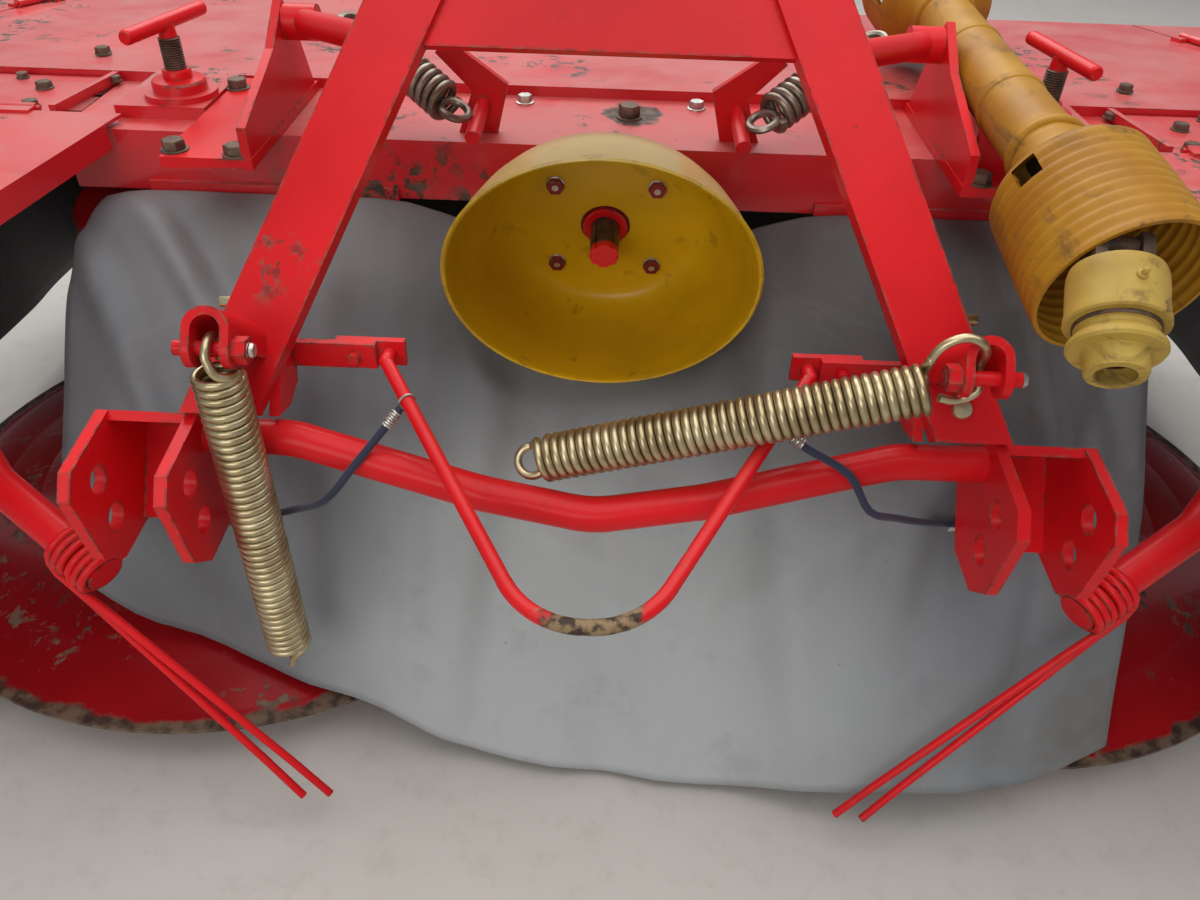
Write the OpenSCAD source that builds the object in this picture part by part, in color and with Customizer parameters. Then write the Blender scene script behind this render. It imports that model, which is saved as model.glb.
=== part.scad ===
// Two-drum front mower, standing on its skid dishes.
// X runs across the machine, +Y is the driving direction and Z is up.
// The tractor hitches on at the -Y side. Lengths are in millimetres.

/* [Rotors] */
// Distance between the two rotor axes
rotor_spacing = 1050; // [1040:1:1060]
// Radius of the flared rotor rim
rim_r = 498; // [490:1:502]
// Height of the rim's underside above the ground
rim_z = 70; // [66:1:74]
// Radius of the drum wall at its top
drum_top_r = 160; // [140:1:170]
// Height of the drum's top plate above the ground
drum_top_z = 548; // [530:1:560]
// Sheet thickness of drum and rim
drum_wall = 5; // [4:0.5:8]
// How far a knife's tip passes the rim
knife_reach = 32; // [28:1:34]
// Distance of a knife's bolt in from the rim's edge
knife_bolt_in = 28; // [24:1:40]
// Knife blade width
knife_w = 42; // [30:1:50]
// Knife blade thickness
knife_t = 4; // [3:0.5:5]
// Radius of the skid dish under each rotor
dish_r = 400; // [360:1:430]
// Radius of the fixed column that carries a rotor
column_r = 60; // [50:1:65]
// Radial clearance between rotor hub and column
hub_clearance = 0.06; // [0.02:0.01:0.1]

/* [Beam and covers] */
// Height of the beam's top above the ground
beam_top_z = 655; // [645:1:665]
// Height of the beam section
beam_h = 72; // [60:1:80]
// Width of the beam along Y
beam_d = 172; // [150:1:176]
// Length of the beam beyond a rotor axis
beam_end = 115; // [100:1:120]
// Overall half width across the covers
cover_half = 1090; // [1080:1:1110]
// Thickness of the cover sheets
sheet_t = 4; // [3:0.5:5]
// Front edge of the front cover, measured from the rotor axes
cover_front_y = 645; // [620:1:660]
// Height of the front cover's top at its near edge
cover_near_z = 668; // [664:1:672]
// Height of the front cover's top at its front edge
cover_far_z = 637; // [630:1:645]
// Near edge of the rear flaps, measured from the rotor axes
flap_near_y = -560; // [-580:1:-520]
// Height of a rear flap's top
flap_z = 665; // [663:1:668]
// Height of the curtain hems above the ground
hem_z = 130; // [110:1:200]
// Thickness of the dark side and front curtains
curtain_t = 3; // [2:0.5:4]
// Thickness of the grey rear curtain
tarp_t = 3; // [2:0.5:4]

/* [Headstock] */
// Angle by which the headstock leans over the mower
lean = 38.3; // [36:0.1:40]
// Width of a headstock leg
leg_w = 68; // [60:1:75]
// Thickness of a headstock leg
leg_t = 20; // [12:1:30]
// Centre of a link bracket from the middle of the machine
link_half = 435; // [430:1:440]
// Distance between the middle planes of a link bracket's ears
ear_gap = 88; // [80:1:96]
// Thickness of a link bracket's ears
ear_t = 12; // [8:1:14]
// Diameter of the link pin holes
link_bore_d = 28.5; // [28:0.1:29]
// Diameter of the top link pin hole
top_bore_d = 25.7; // [25.4:0.1:26]
// Inner distance between the top link ears
top_gap = 52; // [50:1:56]
// Outer diameter of the bent spreader tube
spreader_d = 36; // [32:1:40]
// Rod diameter of the bow that cradles the drive shaft
bow_d = 14; // [12:1:16]

/* [Drive] */
// Diameter of the splined input shaft
input_d = 34.9; // [34.8:0.1:35]
// Length of the splined input shaft outside its seal
input_len = 59; // [50:1:70]
// Angle by which the input shaft points down
input_tilt = 15.5; // [14:0.1:17]
// Radial clearance between input shaft and seal
shaft_clearance = 0.06; // [0.02:0.01:0.1]
// Side length of the gearbox's square of bolts
gearbox_bolts = 119.5; // [118:0.5:121]
// Radius of the yellow shield's rim
shield_r = 166; // [160:1:170]
// Radius of the yellow shield's flat back
shield_back_r = 108; // [100:1:112]
// Sheet thickness of the yellow shield
shield_t = 3; // [2:0.5:5]
// Outer diameter of the drive shaft's guard tube
guard_d = 70; // [60:1:76]
// Outer diameter of the drive shaft's ribbed cone
cone_d = 170; // [160:1:176]

/* [Springs and tines] */
// Outer diameter of a relief spring
relief_d = 49; // [44:1:52]
// Wire diameter of a relief spring
relief_wire = 8.5; // [7:0.5:9.5]
// Length of a relief spring's close coil
relief_len = 375; // [365:1:380]
// Outer diameter of a balance spring
balance_d = 48; // [44:1:50]
// Wire diameter of a balance spring
balance_wire = 9; // [8:0.5:10]
// Outer diameter of the tine bars
tine_bar_d = 40; // [34:1:44]
// Diameter of a tine
tine_d = 9; // [7:0.5:10]

/* [Hidden] */
$fn = 48;

red = [0.85, 0.1, 0.12];
dark_red = [0.6, 0.08, 0.1];
mustard = [0.72, 0.6, 0.05];
shaft_yellow = [0.8, 0.62, 0.1];
zinc_gold = [0.66, 0.6, 0.4];
steel = [0.45, 0.4, 0.36];
tarp_grey = [0.5, 0.56, 0.62];
skirt_grey = [0.16, 0.16, 0.17];

// Distance from the rotor axes to the middle of the machine's length
axle_y = -2;
half = rotor_spacing / 2;
beam_half = half + beam_end;
knife_tip_r = rim_r + knife_reach;
knife_bolt_r = rim_r - knife_bolt_in;
beam_near_y = -84;
beam_far_y = beam_near_y + beam_d;
beam_low_z = beam_top_z - beam_h;
side_z = beam_top_z + 5;

// Moves a sub-part from the rotor line into the machine's frame
module place() translate([0, axle_y, 0]) children();

// The headstock's plane: X across, Y away from the tractor, Z up along the legs
head_y = -458;
head_z = 502;
module on_headstock() place() translate([0, head_y, head_z]) rotate([-lean, 0, 0]) children();
function head_point(p) = [
    p[0],
    head_y + p[1] * cos(lean) + p[2] * sin(lean),
    head_z - p[1] * sin(lean) + p[2] * cos(lean)
];

// One sub-part on each side, the right one mirrored from the left
module both_sides() {
    children();
    mirror([1, 0, 0]) children();
}

// Round bar from point a to point b
module rod(a, b, d) {
    v = b - a;
    translate(a)
        rotate([0, atan2(norm([v[0], v[1]]), v[2]), atan2(v[1], v[0])])
            cylinder(d = d, h = norm(v));
}

// Round bar bent along a list of corner points, with the same bend radius at each.
// Cold bending swells a bend by a hair, and the straight bars run a little way into it.
bend_swell = 0.5;
bend_lap = 2;
function unit(v) = v / norm(v);
module bent_rod(p, d, bend_r) {
    n = len(p);
    turn = [for (i = [1 : n - 2]) let (c = unit(p[i] - p[i - 1]) * unit(p[i + 1] - p[i])) acos(min(1, c))];
    trim = [0, for (t = turn) bend_r * tan(t / 2), 0];
    lap = [0, for (t = turn) bend_lap, 0];
    for (i = [0 : n - 2]) let (u = unit(p[i + 1] - p[i]))
        rod(p[i] + u * (trim[i] - lap[i]), p[i + 1] - u * (trim[i + 1] - lap[i + 1]), d);
    for (i = [1 : n - 2]) {
        along = unit(p[i] - p[i - 1]);
        inward = unit(unit(p[i + 1] - p[i]) - along);
        centre = p[i] + inward * bend_r / cos(turn[i - 1] / 2);
        out = unit(p[i] - along * trim[i] - centre);
        up = cross(out, along);
        multmatrix([for (k = [0 : 2]) [out[k], along[k], up[k], centre[k]]])
            rotate_extrude(angle = turn[i - 1]) translate([bend_r, 0]) circle(d = d + bend_swell);
    }
}

// Plate standing across the machine: an outline of [y, z] points, t thick about x
module cross_plate(outline, x, t)
    translate([x - t / 2, 0, 0]) rotate([90, 0, 90]) linear_extrude(t) polygon(outline);

// The beam, with the strips on its near edge that the rear curtain hangs from
tarp_top_y = beam_near_y - 8;
tarp_top_z = 584;
module main_beam() color(red) place() {
    strip = [250, tarp_top_y + 0.71 * tarp_t, tarp_top_z - 0.71 * tarp_t];
    translate([-beam_half, beam_near_y, beam_low_z]) cube([2 * beam_half, beam_d, beam_h]);
    both_sides() translate(strip) cube([300, beam_near_y - strip[1], 14]);
}

// The gearbox hangs under the beam and shows its tilted face in front of it.
// Its four bolt heads sit on the shield's back.
face_y = -86;
face_z = 561;
gearbox_half = 85;
gearbox_low_z = 478;
seal_d = 54;
seal_h = 8;
shaft_depth = 17;
module on_face() place() translate([0, face_y, face_z]) rotate([90 + input_tilt, 0, 0]) children();
module centre_gearbox() color(dark_red) {
    reach = gearbox_half;
    low = [face_y + reach * sin(input_tilt), face_z - reach * cos(input_tilt)];
    high = [face_y - reach * sin(input_tilt), face_z + reach * cos(input_tilt)];
    difference() {
        union() {
            place() cross_plate([
                low, high, [beam_near_y, high[1] + 6], [beam_near_y, beam_low_z],
                [beam_far_y, beam_low_z], [beam_far_y, gearbox_low_z]
            ], 0, 2 * gearbox_half);
            on_face() translate([0, 0, -1]) cylinder(d = seal_d, h = seal_h + 1);
        }
        on_face() translate([0, 0, -shaft_depth]) cylinder(d = input_d + 2 * shaft_clearance, h = 60);
    }
    for (x = [-1, 1], y = [-1, 1]) on_face() translate([x * gearbox_bolts / 2, y * gearbox_bolts / 2, shield_t])
        cylinder(d = 21, h = 9, $fn = 6);
}

// Arms and a front tube under the front cover, and the arms that carry the side covers
arm_w = 50;
arm_h = 30;
arm_half_x = [300, 600];
function cover_z(y) = cover_near_z + (y - beam_far_y) * (cover_far_z - cover_near_z) / (cover_front_y - beam_far_y);
function under_z(y) = cover_near_z - sheet_t
    + (y - beam_far_y - sheet_t) * (cover_far_z - cover_near_z) / (cover_front_y - beam_far_y - 2 * sheet_t);
cover_cut = 180;
function cover_x(y) = cover_half - cover_cut + (cover_front_y - 5 - y) * cover_cut / 620;
module cover_frame() color(dark_red) place() both_sides() {
    arm_y = cover_front_y - 20;
    for (x = arm_half_x) cross_plate([
        [beam_far_y, beam_low_z + 10], [beam_far_y, beam_top_z - 20], [beam_far_y + sheet_t, beam_top_z - 20],
        [beam_far_y + sheet_t, under_z(beam_far_y + sheet_t)], [arm_y, under_z(arm_y)], [arm_y, under_z(arm_y) - arm_h]
    ], x, 8);
    translate([beam_half, -30, beam_top_z - 5 - arm_h]) cube([cover_half - beam_half - 15, arm_w, arm_h + 6]);
}

// The slanting hinge line: local Z runs along it towards the front, local -Y outwards on the right
corner_knuckle_y = [160, 450];
hinge_lift = 0.3;
function hinge_at(y) = [cover_x(y), y, cover_z(y) + knuckle_d / 2 + hinge_lift];
module on_corner_hinge(y) {
    along = hinge_at(y + 100) - hinge_at(y);
    out = cross(along, [0, 0, 1]);
    z = along / norm(along);
    y_axis = -out / norm(out);
    x_axis = cross(y_axis, z);
    multmatrix([for (k = [0 : 2]) [x_axis[k], y_axis[k], z[k], hinge_at(y)[k]]]) children();
}

module front_cover() color(red) place() {
    x_near = cover_x(beam_far_y + 7);
    both_sides() for (y = corner_knuckle_y) on_corner_hinge(y) {
        fixed_knuckle();
        translate([0, 0, knuckle_len + 1]) cube([knuckle_d / 2 + 1, 20, 20]);
    }
    difference() {
        cross_plate([
            [beam_far_y, cover_near_z], [cover_front_y, cover_far_z],
            [cover_front_y, cover_far_z - 22], [cover_front_y - sheet_t, cover_far_z - 22],
            [cover_front_y - sheet_t, cover_far_z - sheet_t], [beam_far_y + sheet_t, cover_near_z - sheet_t],
            [beam_far_y + sheet_t, beam_top_z - 20], [beam_far_y, beam_top_z - 20]
        ], 0, 2 * x_near);
        both_sides() translate([0, 0, beam_low_z]) linear_extrude(120) polygon([
            [cover_x(cover_front_y + 10), cover_front_y + 10], [cover_x(beam_far_y - 10), beam_far_y - 10],
            [cover_half + 100, beam_far_y - 10], [cover_half + 100, cover_front_y + 10]
        ]);
    }
}

// Hinge knuckles: a flap's own pair has a bore, and the fixed knuckle carries the pin
knuckle_d = 12;
knuckle_len = 60;
hinge_pin_d = 6;
pin_clearance = 0.06;
flap_hinge_y = -52;
flap_knuckle_x = [beam_half + 40, cover_half - 110];
module fixed_knuckle() {
    translate([0, 0, knuckle_len + 1]) cylinder(d = knuckle_d, h = 20);
    translate([0, 0, -4]) cylinder(d = hinge_pin_d, h = knuckle_len + 6);
}
module flap_knuckle() difference() {
    cylinder(d = knuckle_d, h = knuckle_len);
    translate([0, 0, -1]) cylinder(d = hinge_pin_d + 2 * pin_clearance, h = knuckle_len + 2);
}

// Side covers with a raised edge next to the drum seats
module side_covers() color(red) place() both_sides() {
    translate([0, 0, side_z - sheet_t]) linear_extrude(sheet_t) polygon([
        [beam_half, beam_far_y - 4], [beam_half + 20, -48], [cover_half, -48], [cover_half, 18],
        [cover_half - 22, beam_far_y - 4]
    ]);
    translate([0, 0, side_z]) linear_extrude(8) polygon([
        [beam_half, beam_far_y - 4], [beam_half + 20, -48], [beam_half + 28, -48], [beam_half + 8, beam_far_y - 4]
    ]);
    for (x = flap_knuckle_x) translate([x, flap_hinge_y, flap_z]) {
        rotate([0, 90, 0]) fixed_knuckle();
        translate([knuckle_len + 1, 0, side_z - flap_z]) cube([20, 22, 5]);
    }
}

// Square plates and round flanges on the beam, above the drum columns
seat_z = beam_top_z + 15;
module drum_seats() color(red) place() both_sides() translate([half, 0, 0]) {
    translate([-43, -46, beam_top_z]) cube([108, 128, seat_z - beam_top_z]);
    translate([0, 0, seat_z]) cylinder(d = 86, h = 7);
    translate([0, 0, seat_z + 7]) cylinder(d = 64, h = 10);
}

// T-handled spindles that set the cutting height
spindle_z = 753.5;
module height_spindles() color(red) place() {
    for (side = [[-1, 48], [1, -53]]) translate([side[0] * half, 0, 0]) {
        translate([0, 0, seat_z + 17]) cylinder(d = 25, h = 49);
        translate([0, 0, seat_z + 17]) cylinder(d = 34, h = 12);
        translate([0, 0, spindle_z - 18]) cylinder(d = 18, h = 18);
        rotate([0, 0, side[1]]) translate([-60, 0, spindle_z]) rotate([0, 90, 0]) cylinder(d = 17, h = 120);
    }
}

module drum_columns() color(steel) place() both_sides() translate([half, 0, 0]) {
    translate([0, 0, 30]) cylinder(r = column_r, h = beam_low_z - 30);
    translate([0, 0, drum_top_z + 6]) cylinder(r = 82, h = beam_low_z - drum_top_z - 6);
}

// Dished skid that the mower stands on, with a raised centre
module skid_dishes() color(steel) place() both_sides() translate([half, 0, 0]) difference() {
    rotate_extrude($fn = 96) polygon([
        [0, 24], [90, 24], [140, 2], [170, 0], [250, 0], [330, 14], [dish_r, 48],
        [dish_r - 4, 53], [328, 20], [249, 6], [172, 6], [143, 8], [93, 30], [0, 30]
    ]);
}

// Hollow rotor: hub, drum wall, flared disc and worn flat lip
module drum_shell() {
    rotate_extrude($fn = 120) polygon([
        [column_r + hub_clearance, drum_top_z], [drum_top_r - 6, drum_top_z], [drum_top_r, drum_top_z - 6],
        [drum_top_r + 12, 300], [drum_top_r + 35, 200], [drum_top_r + 80, 140], [330, 104], [400, 88],
        [rim_r - 25, rim_z + drum_wall + 2], [rim_r, rim_z + drum_wall], [rim_r, rim_z], [rim_r - 27, rim_z],
        [398, 82], [328, 98], [drum_top_r + 76, 134], [drum_top_r + 30, 197], [drum_top_r + 7, 298],
        [drum_top_r - drum_wall, drum_top_z - 12], [column_r + 22, drum_top_z - 12], [column_r + 22, drum_top_z - 60],
        [column_r + hub_clearance, drum_top_z - 60]
    ]);
}

module left_drum() color(red) place() translate([-half, 0, 0]) drum_shell();

module right_drum() color(red) place() translate([half, 0, 0]) drum_shell();

// Three free-swinging knives under the lip, each on its bolt
module knife_set() {
    for (a = [0, 120, 240]) rotate([0, 0, a]) {
        translate([knife_bolt_r, 0, rim_z - 12]) cylinder(d = 26, h = 5);
        translate([knife_bolt_r, 0, rim_z - 8]) cylinder(d = 18, h = 8);
        translate([0, 0, rim_z - 8]) linear_extrude(knife_t) polygon([
            [knife_bolt_r - 22, -knife_w / 2], [knife_tip_r - 6, -knife_w / 2 + 2], [knife_tip_r - 1, 0],
            [knife_tip_r - 6, knife_w / 2 - 2], [knife_bolt_r - 22, knife_w / 2]
        ]);
    }
}

module left_knives() color(steel) place() translate([-half, 0, 0]) knife_set();

module right_knives() color(steel) place() translate([half, 0, 0]) knife_set();

// Rear flap: a sheet with a turned-down inner edge, hinged at its far edge
flap_in_far = 576;
flap_in_mid = 602;
flap_in_near = 634;
lip_far_y = beam_near_y - 10;
module rear_flap_sheet() {
    translate([0, 0, flap_z - sheet_t]) linear_extrude(sheet_t) polygon([
        [flap_in_far, flap_hinge_y - 8], [flap_in_mid, -298], [flap_in_near, flap_near_y],
        [cover_half, flap_near_y], [cover_half, flap_hinge_y - 8]
    ]);
    translate([0, 0, flap_z - 30]) linear_extrude(30) polygon([
        [flap_in_far + 4, lip_far_y], [flap_in_mid, -298], [flap_in_near, flap_near_y],
        [flap_in_near + sheet_t, flap_near_y], [flap_in_mid + sheet_t, -298], [flap_in_far + 4 + sheet_t, lip_far_y]
    ]);
    translate([flap_in_near, flap_near_y, flap_z - 30]) cube([cover_half - flap_in_near, sheet_t, 30]);
    for (x = flap_knuckle_x) translate([x, flap_hinge_y, flap_z]) {
        rotate([0, 90, 0]) flap_knuckle();
        translate([0, -20, 0]) cube([knuckle_len, 15, 4]);
    }
}

module left_rear_flap() color(red) place() mirror([1, 0, 0]) rear_flap_sheet();

module right_rear_flap() color(red) place() rear_flap_sheet();

module rear_skirt() {
    translate([cover_half - curtain_t, flap_near_y + sheet_t, hem_z])
        cube([curtain_t, flap_hinge_y - 8 - flap_near_y - sheet_t, flap_z - sheet_t - hem_z]);
    translate([flap_in_near + 60, flap_near_y + sheet_t, 480])
        cube([cover_half - flap_in_near - 61, curtain_t, flap_z - sheet_t - 480]);
}

module left_rear_skirt() color(skirt_grey) place() mirror([1, 0, 0]) rear_skirt();

module right_rear_skirt() color(skirt_grey) place() rear_skirt();

// Front corner flap, hinged along a slanting seam at the side of the front cover
hinge_near_y = 24;
hinge_gap = 4;
module corner_flap_sheet() {
    difference() {
        cross_plate([
            [hinge_near_y + 8, cover_z(hinge_near_y + 8)], [cover_front_y, cover_far_z],
            [cover_front_y, cover_far_z - 22], [cover_front_y - sheet_t, cover_far_z - 22],
            [cover_front_y - sheet_t, cover_far_z - sheet_t], [hinge_near_y + 8, cover_z(hinge_near_y + 8) - sheet_t]
        ], cover_half - 120, 240);
        translate([hinge_gap, 0, 500]) linear_extrude(300) polygon([
            [cover_x(cover_front_y + 10), cover_front_y + 10], [cover_x(0), 0], [700, 0], [700, cover_front_y + 10]
        ]);
    }
    for (y = corner_knuckle_y) on_corner_hinge(y) {
        flap_knuckle();
        translate([2, -20, 0]) cube([knuckle_d / 2 - 1, 15, knuckle_len]);
    }
}

module left_front_flap() color(red) place() mirror([1, 0, 0]) corner_flap_sheet();

module right_front_flap() color(red) place() corner_flap_sheet();

corner_x = cover_x(cover_front_y) + 6;
module corner_skirt() {
    cross_plate([
        [hinge_near_y + 12, hem_z], [hinge_near_y + 12, cover_z(hinge_near_y + 12) - sheet_t],
        [cover_front_y - sheet_t, cover_far_z - sheet_t], [cover_front_y - sheet_t, hem_z]
    ], cover_half - curtain_t / 2, curtain_t);
    translate([corner_x + 11, cover_front_y - sheet_t - curtain_t, hem_z])
        cube([cover_cut - 12, curtain_t, cover_far_z - sheet_t - hem_z]);
}

module left_front_skirt() color(skirt_grey) place() mirror([1, 0, 0]) corner_skirt();

module right_front_skirt() color(skirt_grey) place() corner_skirt();

module front_curtain() color(skirt_grey) place()
    translate([-corner_x, cover_front_y - sheet_t - curtain_t, hem_z])
        cube([2 * corner_x, curtain_t, cover_far_z - sheet_t - hem_z]);

// Grey rear curtain, hung from the beam's near edge and bulging towards the tractor.
// Columns: x at the top, z at the top, y of the bulge, z of the bulge, then x, y, z of the hem.
tarp_table = [
    [-604, 574, -215, 560, -648, -361, 200],
    [-562, tarp_top_z, -250, 585, -578, -369, 130],
    [-440, tarp_top_z, -250, 585, -505, -372, 115],
    [-330, tarp_top_z, -250, 565, -315, -432, 86],
    [-240, tarp_top_z, -240, 540, -241, -462, 79],
    [-130, 545, -230, 425, -176, -468, 40],
    [ -60, 438, -220, 405,  -95, -478, 20],
    [  60, 438, -220, 405,   60, -490, 12],
    [ 130, 545, -230, 425,  151, -497, 12],
    [ 240, tarp_top_z, -240, 540,  247, -525, 45],
    [ 330, tarp_top_z, -250, 565,  337, -547, 80],
    [ 440, tarp_top_z, -260, 585,  490, -534, 85],
    [ 562, tarp_top_z, -260, 585,  573, -500, 86],
    [ 632, 580, -240, 580,  628, -470, 87]
];
tarp_rows = 9;
function tarp_at(c, t) =
    (1 - t) * (1 - t) * [c[0], tarp_top_y, c[1]]
    + 2 * t * (1 - t) * [(c[0] + c[4]) / 2, c[2], c[3]]
    + t * t * [c[4], c[5], c[6]];
module rear_curtain() color(tarp_grey) place() {
    n = len(tarp_table);
    m = tarp_rows;
    front = [for (c = tarp_table) for (j = [0 : m]) tarp_at(c, j / m)];
    back = [for (p = front) p + tarp_t * [0, 0.71, -0.71]];
    size = len(front);
    sheet = [for (i = [0 : n - 2]) for (j = [0 : m - 1]) let (k = i * (m + 1) + j)
        each [[k, k + 1, k + m + 2], [k, k + m + 2, k + m + 1]]];
    rim = concat(
        [for (i = [0 : n - 2]) (i * (m + 1))],
        [for (j = [0 : m - 1]) (n - 1) * (m + 1) + j],
        [for (i = [n - 1 : -1 : 1]) i * (m + 1) + m],
        [for (j = [m : -1 : 1]) j]
    );
    walls = [for (i = [0 : len(rim) - 1]) let (a = rim[i], b = rim[(i + 1) % len(rim)])
        each [[a, b, b + size], [a, b + size, a + size]]];
    polyhedron(concat(front, back), concat(
        sheet, [for (f = sheet) [f[0] + size, f[2] + size, f[1] + size]], walls
    ));
}

// White clips on the rear curtain, where its tie cords end
// Each row: two neighbouring columns of the curtain, the share of the second, and the way down
clip_table = [[2, 3, 0.35, 0.8], [10, 11, 0.55, 0.68]];
function clip_at(c, t) = tarp_at((1 - c[2]) * tarp_table[c[0]] + c[2] * tarp_table[c[1]], t);
function clip_across(c) = unit(tarp_at(tarp_table[c[1]], c[3]) - tarp_at(tarp_table[c[0]], c[3]));
function clip_out(c) = unit(cross(clip_at(c, c[3] + 0.03) - clip_at(c, c[3] - 0.03), clip_across(c)));
clip_t = 3;
clip_lift = 1.3;
module curtain_clips() color("white") place() for (c = clip_table) {
    across = clip_across(c);
    out = clip_out(c);
    down = cross(across, out);
    at = clip_at(c, c[3]) + clip_lift * out;
    multmatrix([for (k = [0 : 2]) [across[k], down[k], out[k], at[k]]]) difference() {
        translate([-16, -9, 0]) cube([32, 18, clip_t]);
        translate([8, 0, -1]) cylinder(d = 8, h = clip_t + 2);
    }
}

// Cords that tie the clips up to the bow: points on the headstock from the bow's arm downwards
cord_d = 8;
cord_sides = 8;
cord_steps = 4;
cord_table = [
    [[-190, 17, 33], [-206, 13.5, 10], [-232, 15, -24], [-262, 24, -60]],
    [[182.3, 11, 24.8], [205, 11.5, 9], [248, 15, -15], [272, 26, -50]]
];
function spline_at(p, i, t) = let (
    a = p[max(i - 1, 0)], b = p[i], c = p[i + 1], d = p[min(i + 2, len(p) - 1)]
) 0.5 * (2 * b + (c - a) * t + (2 * a - 5 * b + 4 * c - d) * t * t + (3 * b - a - 3 * c + d) * t * t * t);
module cord(route, end_normal) {
    n = len(route) - 1;
    line = [for (i = [0 : n - 1], k = [0 : cord_steps - 1]) spline_at(route, i, k / cord_steps), route[n]];
    m = len(line);
    rings = [for (i = [0 : m - 1]) let (
        along = i == m - 1 ? end_normal : unit(line[i + 1] - line[max(i - 1, 0)]),
        u = unit(cross(along, [0, 1, 0])),
        v = cross(u, along)
    ) for (k = [0 : cord_sides - 1]) let (a = 360 * k / cord_sides) line[i] + cord_d / 2 * (cos(a) * u + sin(a) * v)];
    sides = [for (i = [0 : m - 2], k = [0 : cord_sides - 1]) let (
        a = i * cord_sides + k, b = i * cord_sides + (k + 1) % cord_sides
    ) each [[a, b, b + cord_sides], [a, b + cord_sides, a + cord_sides]]];
    polyhedron(rings, concat(
        [[for (k = [cord_sides - 1 : -1 : 0]) k]], sides, [[for (k = [0 : cord_sides - 1]) (m - 1) * cord_sides + k]]
    ));
}
module tie_cords() color("royalblue") place() for (i = [0, 1]) {
    c = clip_table[i];
    out = clip_out(c);
    end = clip_at(c, c[3]) + (clip_lift + clip_t) * out - 6 * clip_across(c);
    high = [for (p = cord_table[i]) head_point(p)];
    way = high[len(high) - 1] - end;
    low = [for (t = [0.7, 0.4, 0.15]) end + t * way - 20 * t * (1 - t) * [0, 0, 1]];
    cord(concat(high, low, [end + 12 * out + 4 * unit(way), end]), -out);
}

// Headstock legs: flat bars that converge towards the top link
leg_low = [-357, 33];
leg_slope = 21.9;
leg_high_z = 580;
bracket_top_z = 20;
function leg_x(z) = leg_low[0] + (z - leg_low[1]) * tan(leg_slope);
leg_half = leg_w / 2 / cos(leg_slope);
module leg_bar() translate([0, leg_t, 0]) rotate([90, 0, 0]) linear_extrude(leg_t) polygon([
    [leg_x(bracket_top_z) - leg_half, bracket_top_z], [leg_x(bracket_top_z) + leg_half, bracket_top_z],
    [leg_x(leg_high_z) + leg_half, leg_high_z], [leg_x(leg_high_z) - leg_half, leg_high_z]
]);

module left_leg() color(red) on_headstock() leg_bar();

module right_leg() color(red) on_headstock() mirror([1, 0, 0]) leg_bar();

// Cross plate between the legs, with the two ears of the top link
plate_low_z = 383;
plate_high_z = 560;
top_ear_t = 14;
top_hole = [-46, 590];
function leg_in_x(z) = leg_x(z) + leg_half;
module top_plate() color(red) on_headstock() {
    translate([0, leg_t - 2, 0]) rotate([90, 0, 0]) linear_extrude(10) polygon([
        [leg_in_x(plate_low_z), plate_low_z], [-leg_in_x(plate_low_z), plate_low_z],
        [-leg_in_x(plate_high_z), plate_high_z], [leg_in_x(plate_high_z), plate_high_z]
    ]);
    for (s = [-1, 1]) difference() {
        cross_plate([
            [8, 445], [8, 640], [top_hole[0] - 16, top_hole[1] + 28], [top_hole[0] - 30, top_hole[1]],
            [top_hole[0] - 18, top_hole[1] - 28]
        ], s * (top_gap + top_ear_t) / 2, top_ear_t);
        translate([0, top_hole[0], top_hole[1]]) rotate([0, 90, 0]) cylinder(d = top_bore_d, h = 200, center = true);
    }
}

// U-shaped bracket for a lower link: two ears with two rows of holes, and a web
ear_outline = [
    [-48, -40], [-48, -68], [18, -126], [60, -128], [104, -90], [104, bracket_top_z], [12, bracket_top_z]
];
ear_holes = [[0, -48], [36, -85]];
module link_bracket() {
    for (s = [-1, 1]) difference() {
        cross_plate(ear_outline, -link_half + s * ear_gap / 2, ear_t);
        for (h = ear_holes) translate([-link_half, h[0], h[1]])
            rotate([0, 90, 0]) cylinder(d = link_bore_d, h = 2 * ear_gap, center = true);
    }
    translate([-link_half - ear_gap / 2 + ear_t / 2, 92, -90]) cube([ear_gap - ear_t, 12, 90 + bracket_top_z]);
    translate([-link_half - ear_gap / 2 + ear_t / 2, 12, bracket_top_z - 10]) cube([ear_gap - ear_t, 80, 10]);
}

module left_link_bracket() color(red) on_headstock() link_bracket();

module right_link_bracket() color(red) on_headstock() mirror([1, 0, 0]) link_bracket();

// Bent tube between the link brackets, dipping in the middle, behind the legs
tube_y = leg_t + spreader_d / 2;
module spreader_tube() color(red) on_headstock() bent_rod([
    [-385, tube_y, 0], [-300, tube_y, 0], [-110, tube_y, -48], [0, tube_y, -66],
    [110, tube_y, -48], [300, tube_y, 0], [385, tube_y, 0]
], spreader_d, 120);

// Bow of bent rod in a plane that falls towards the tractor
bow_top = [212, -374, 537];
bow_fall = 18.2;
bow_corner = [49, 275];
bow_bend_r = 80;
module drive_bow() color(red) place() translate([0, bow_top[1], bow_top[2]]) rotate([bow_fall, 0, 0]) {
    bent_rod([
        [-bow_top[0], 0, 0], [-bow_corner[0], -bow_corner[1], 0],
        [bow_corner[0], -bow_corner[1], 0], [bow_top[0], 0, 0]
    ], bow_d, bow_bend_r);
    both_sides() translate([bow_top[0], 0, 0]) {
        sphere(d = bow_d + 1);
        rod([0, 0, 0], 34 * [0, cos(bow_fall), -sin(bow_fall)], bow_d);
    }
}

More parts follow.
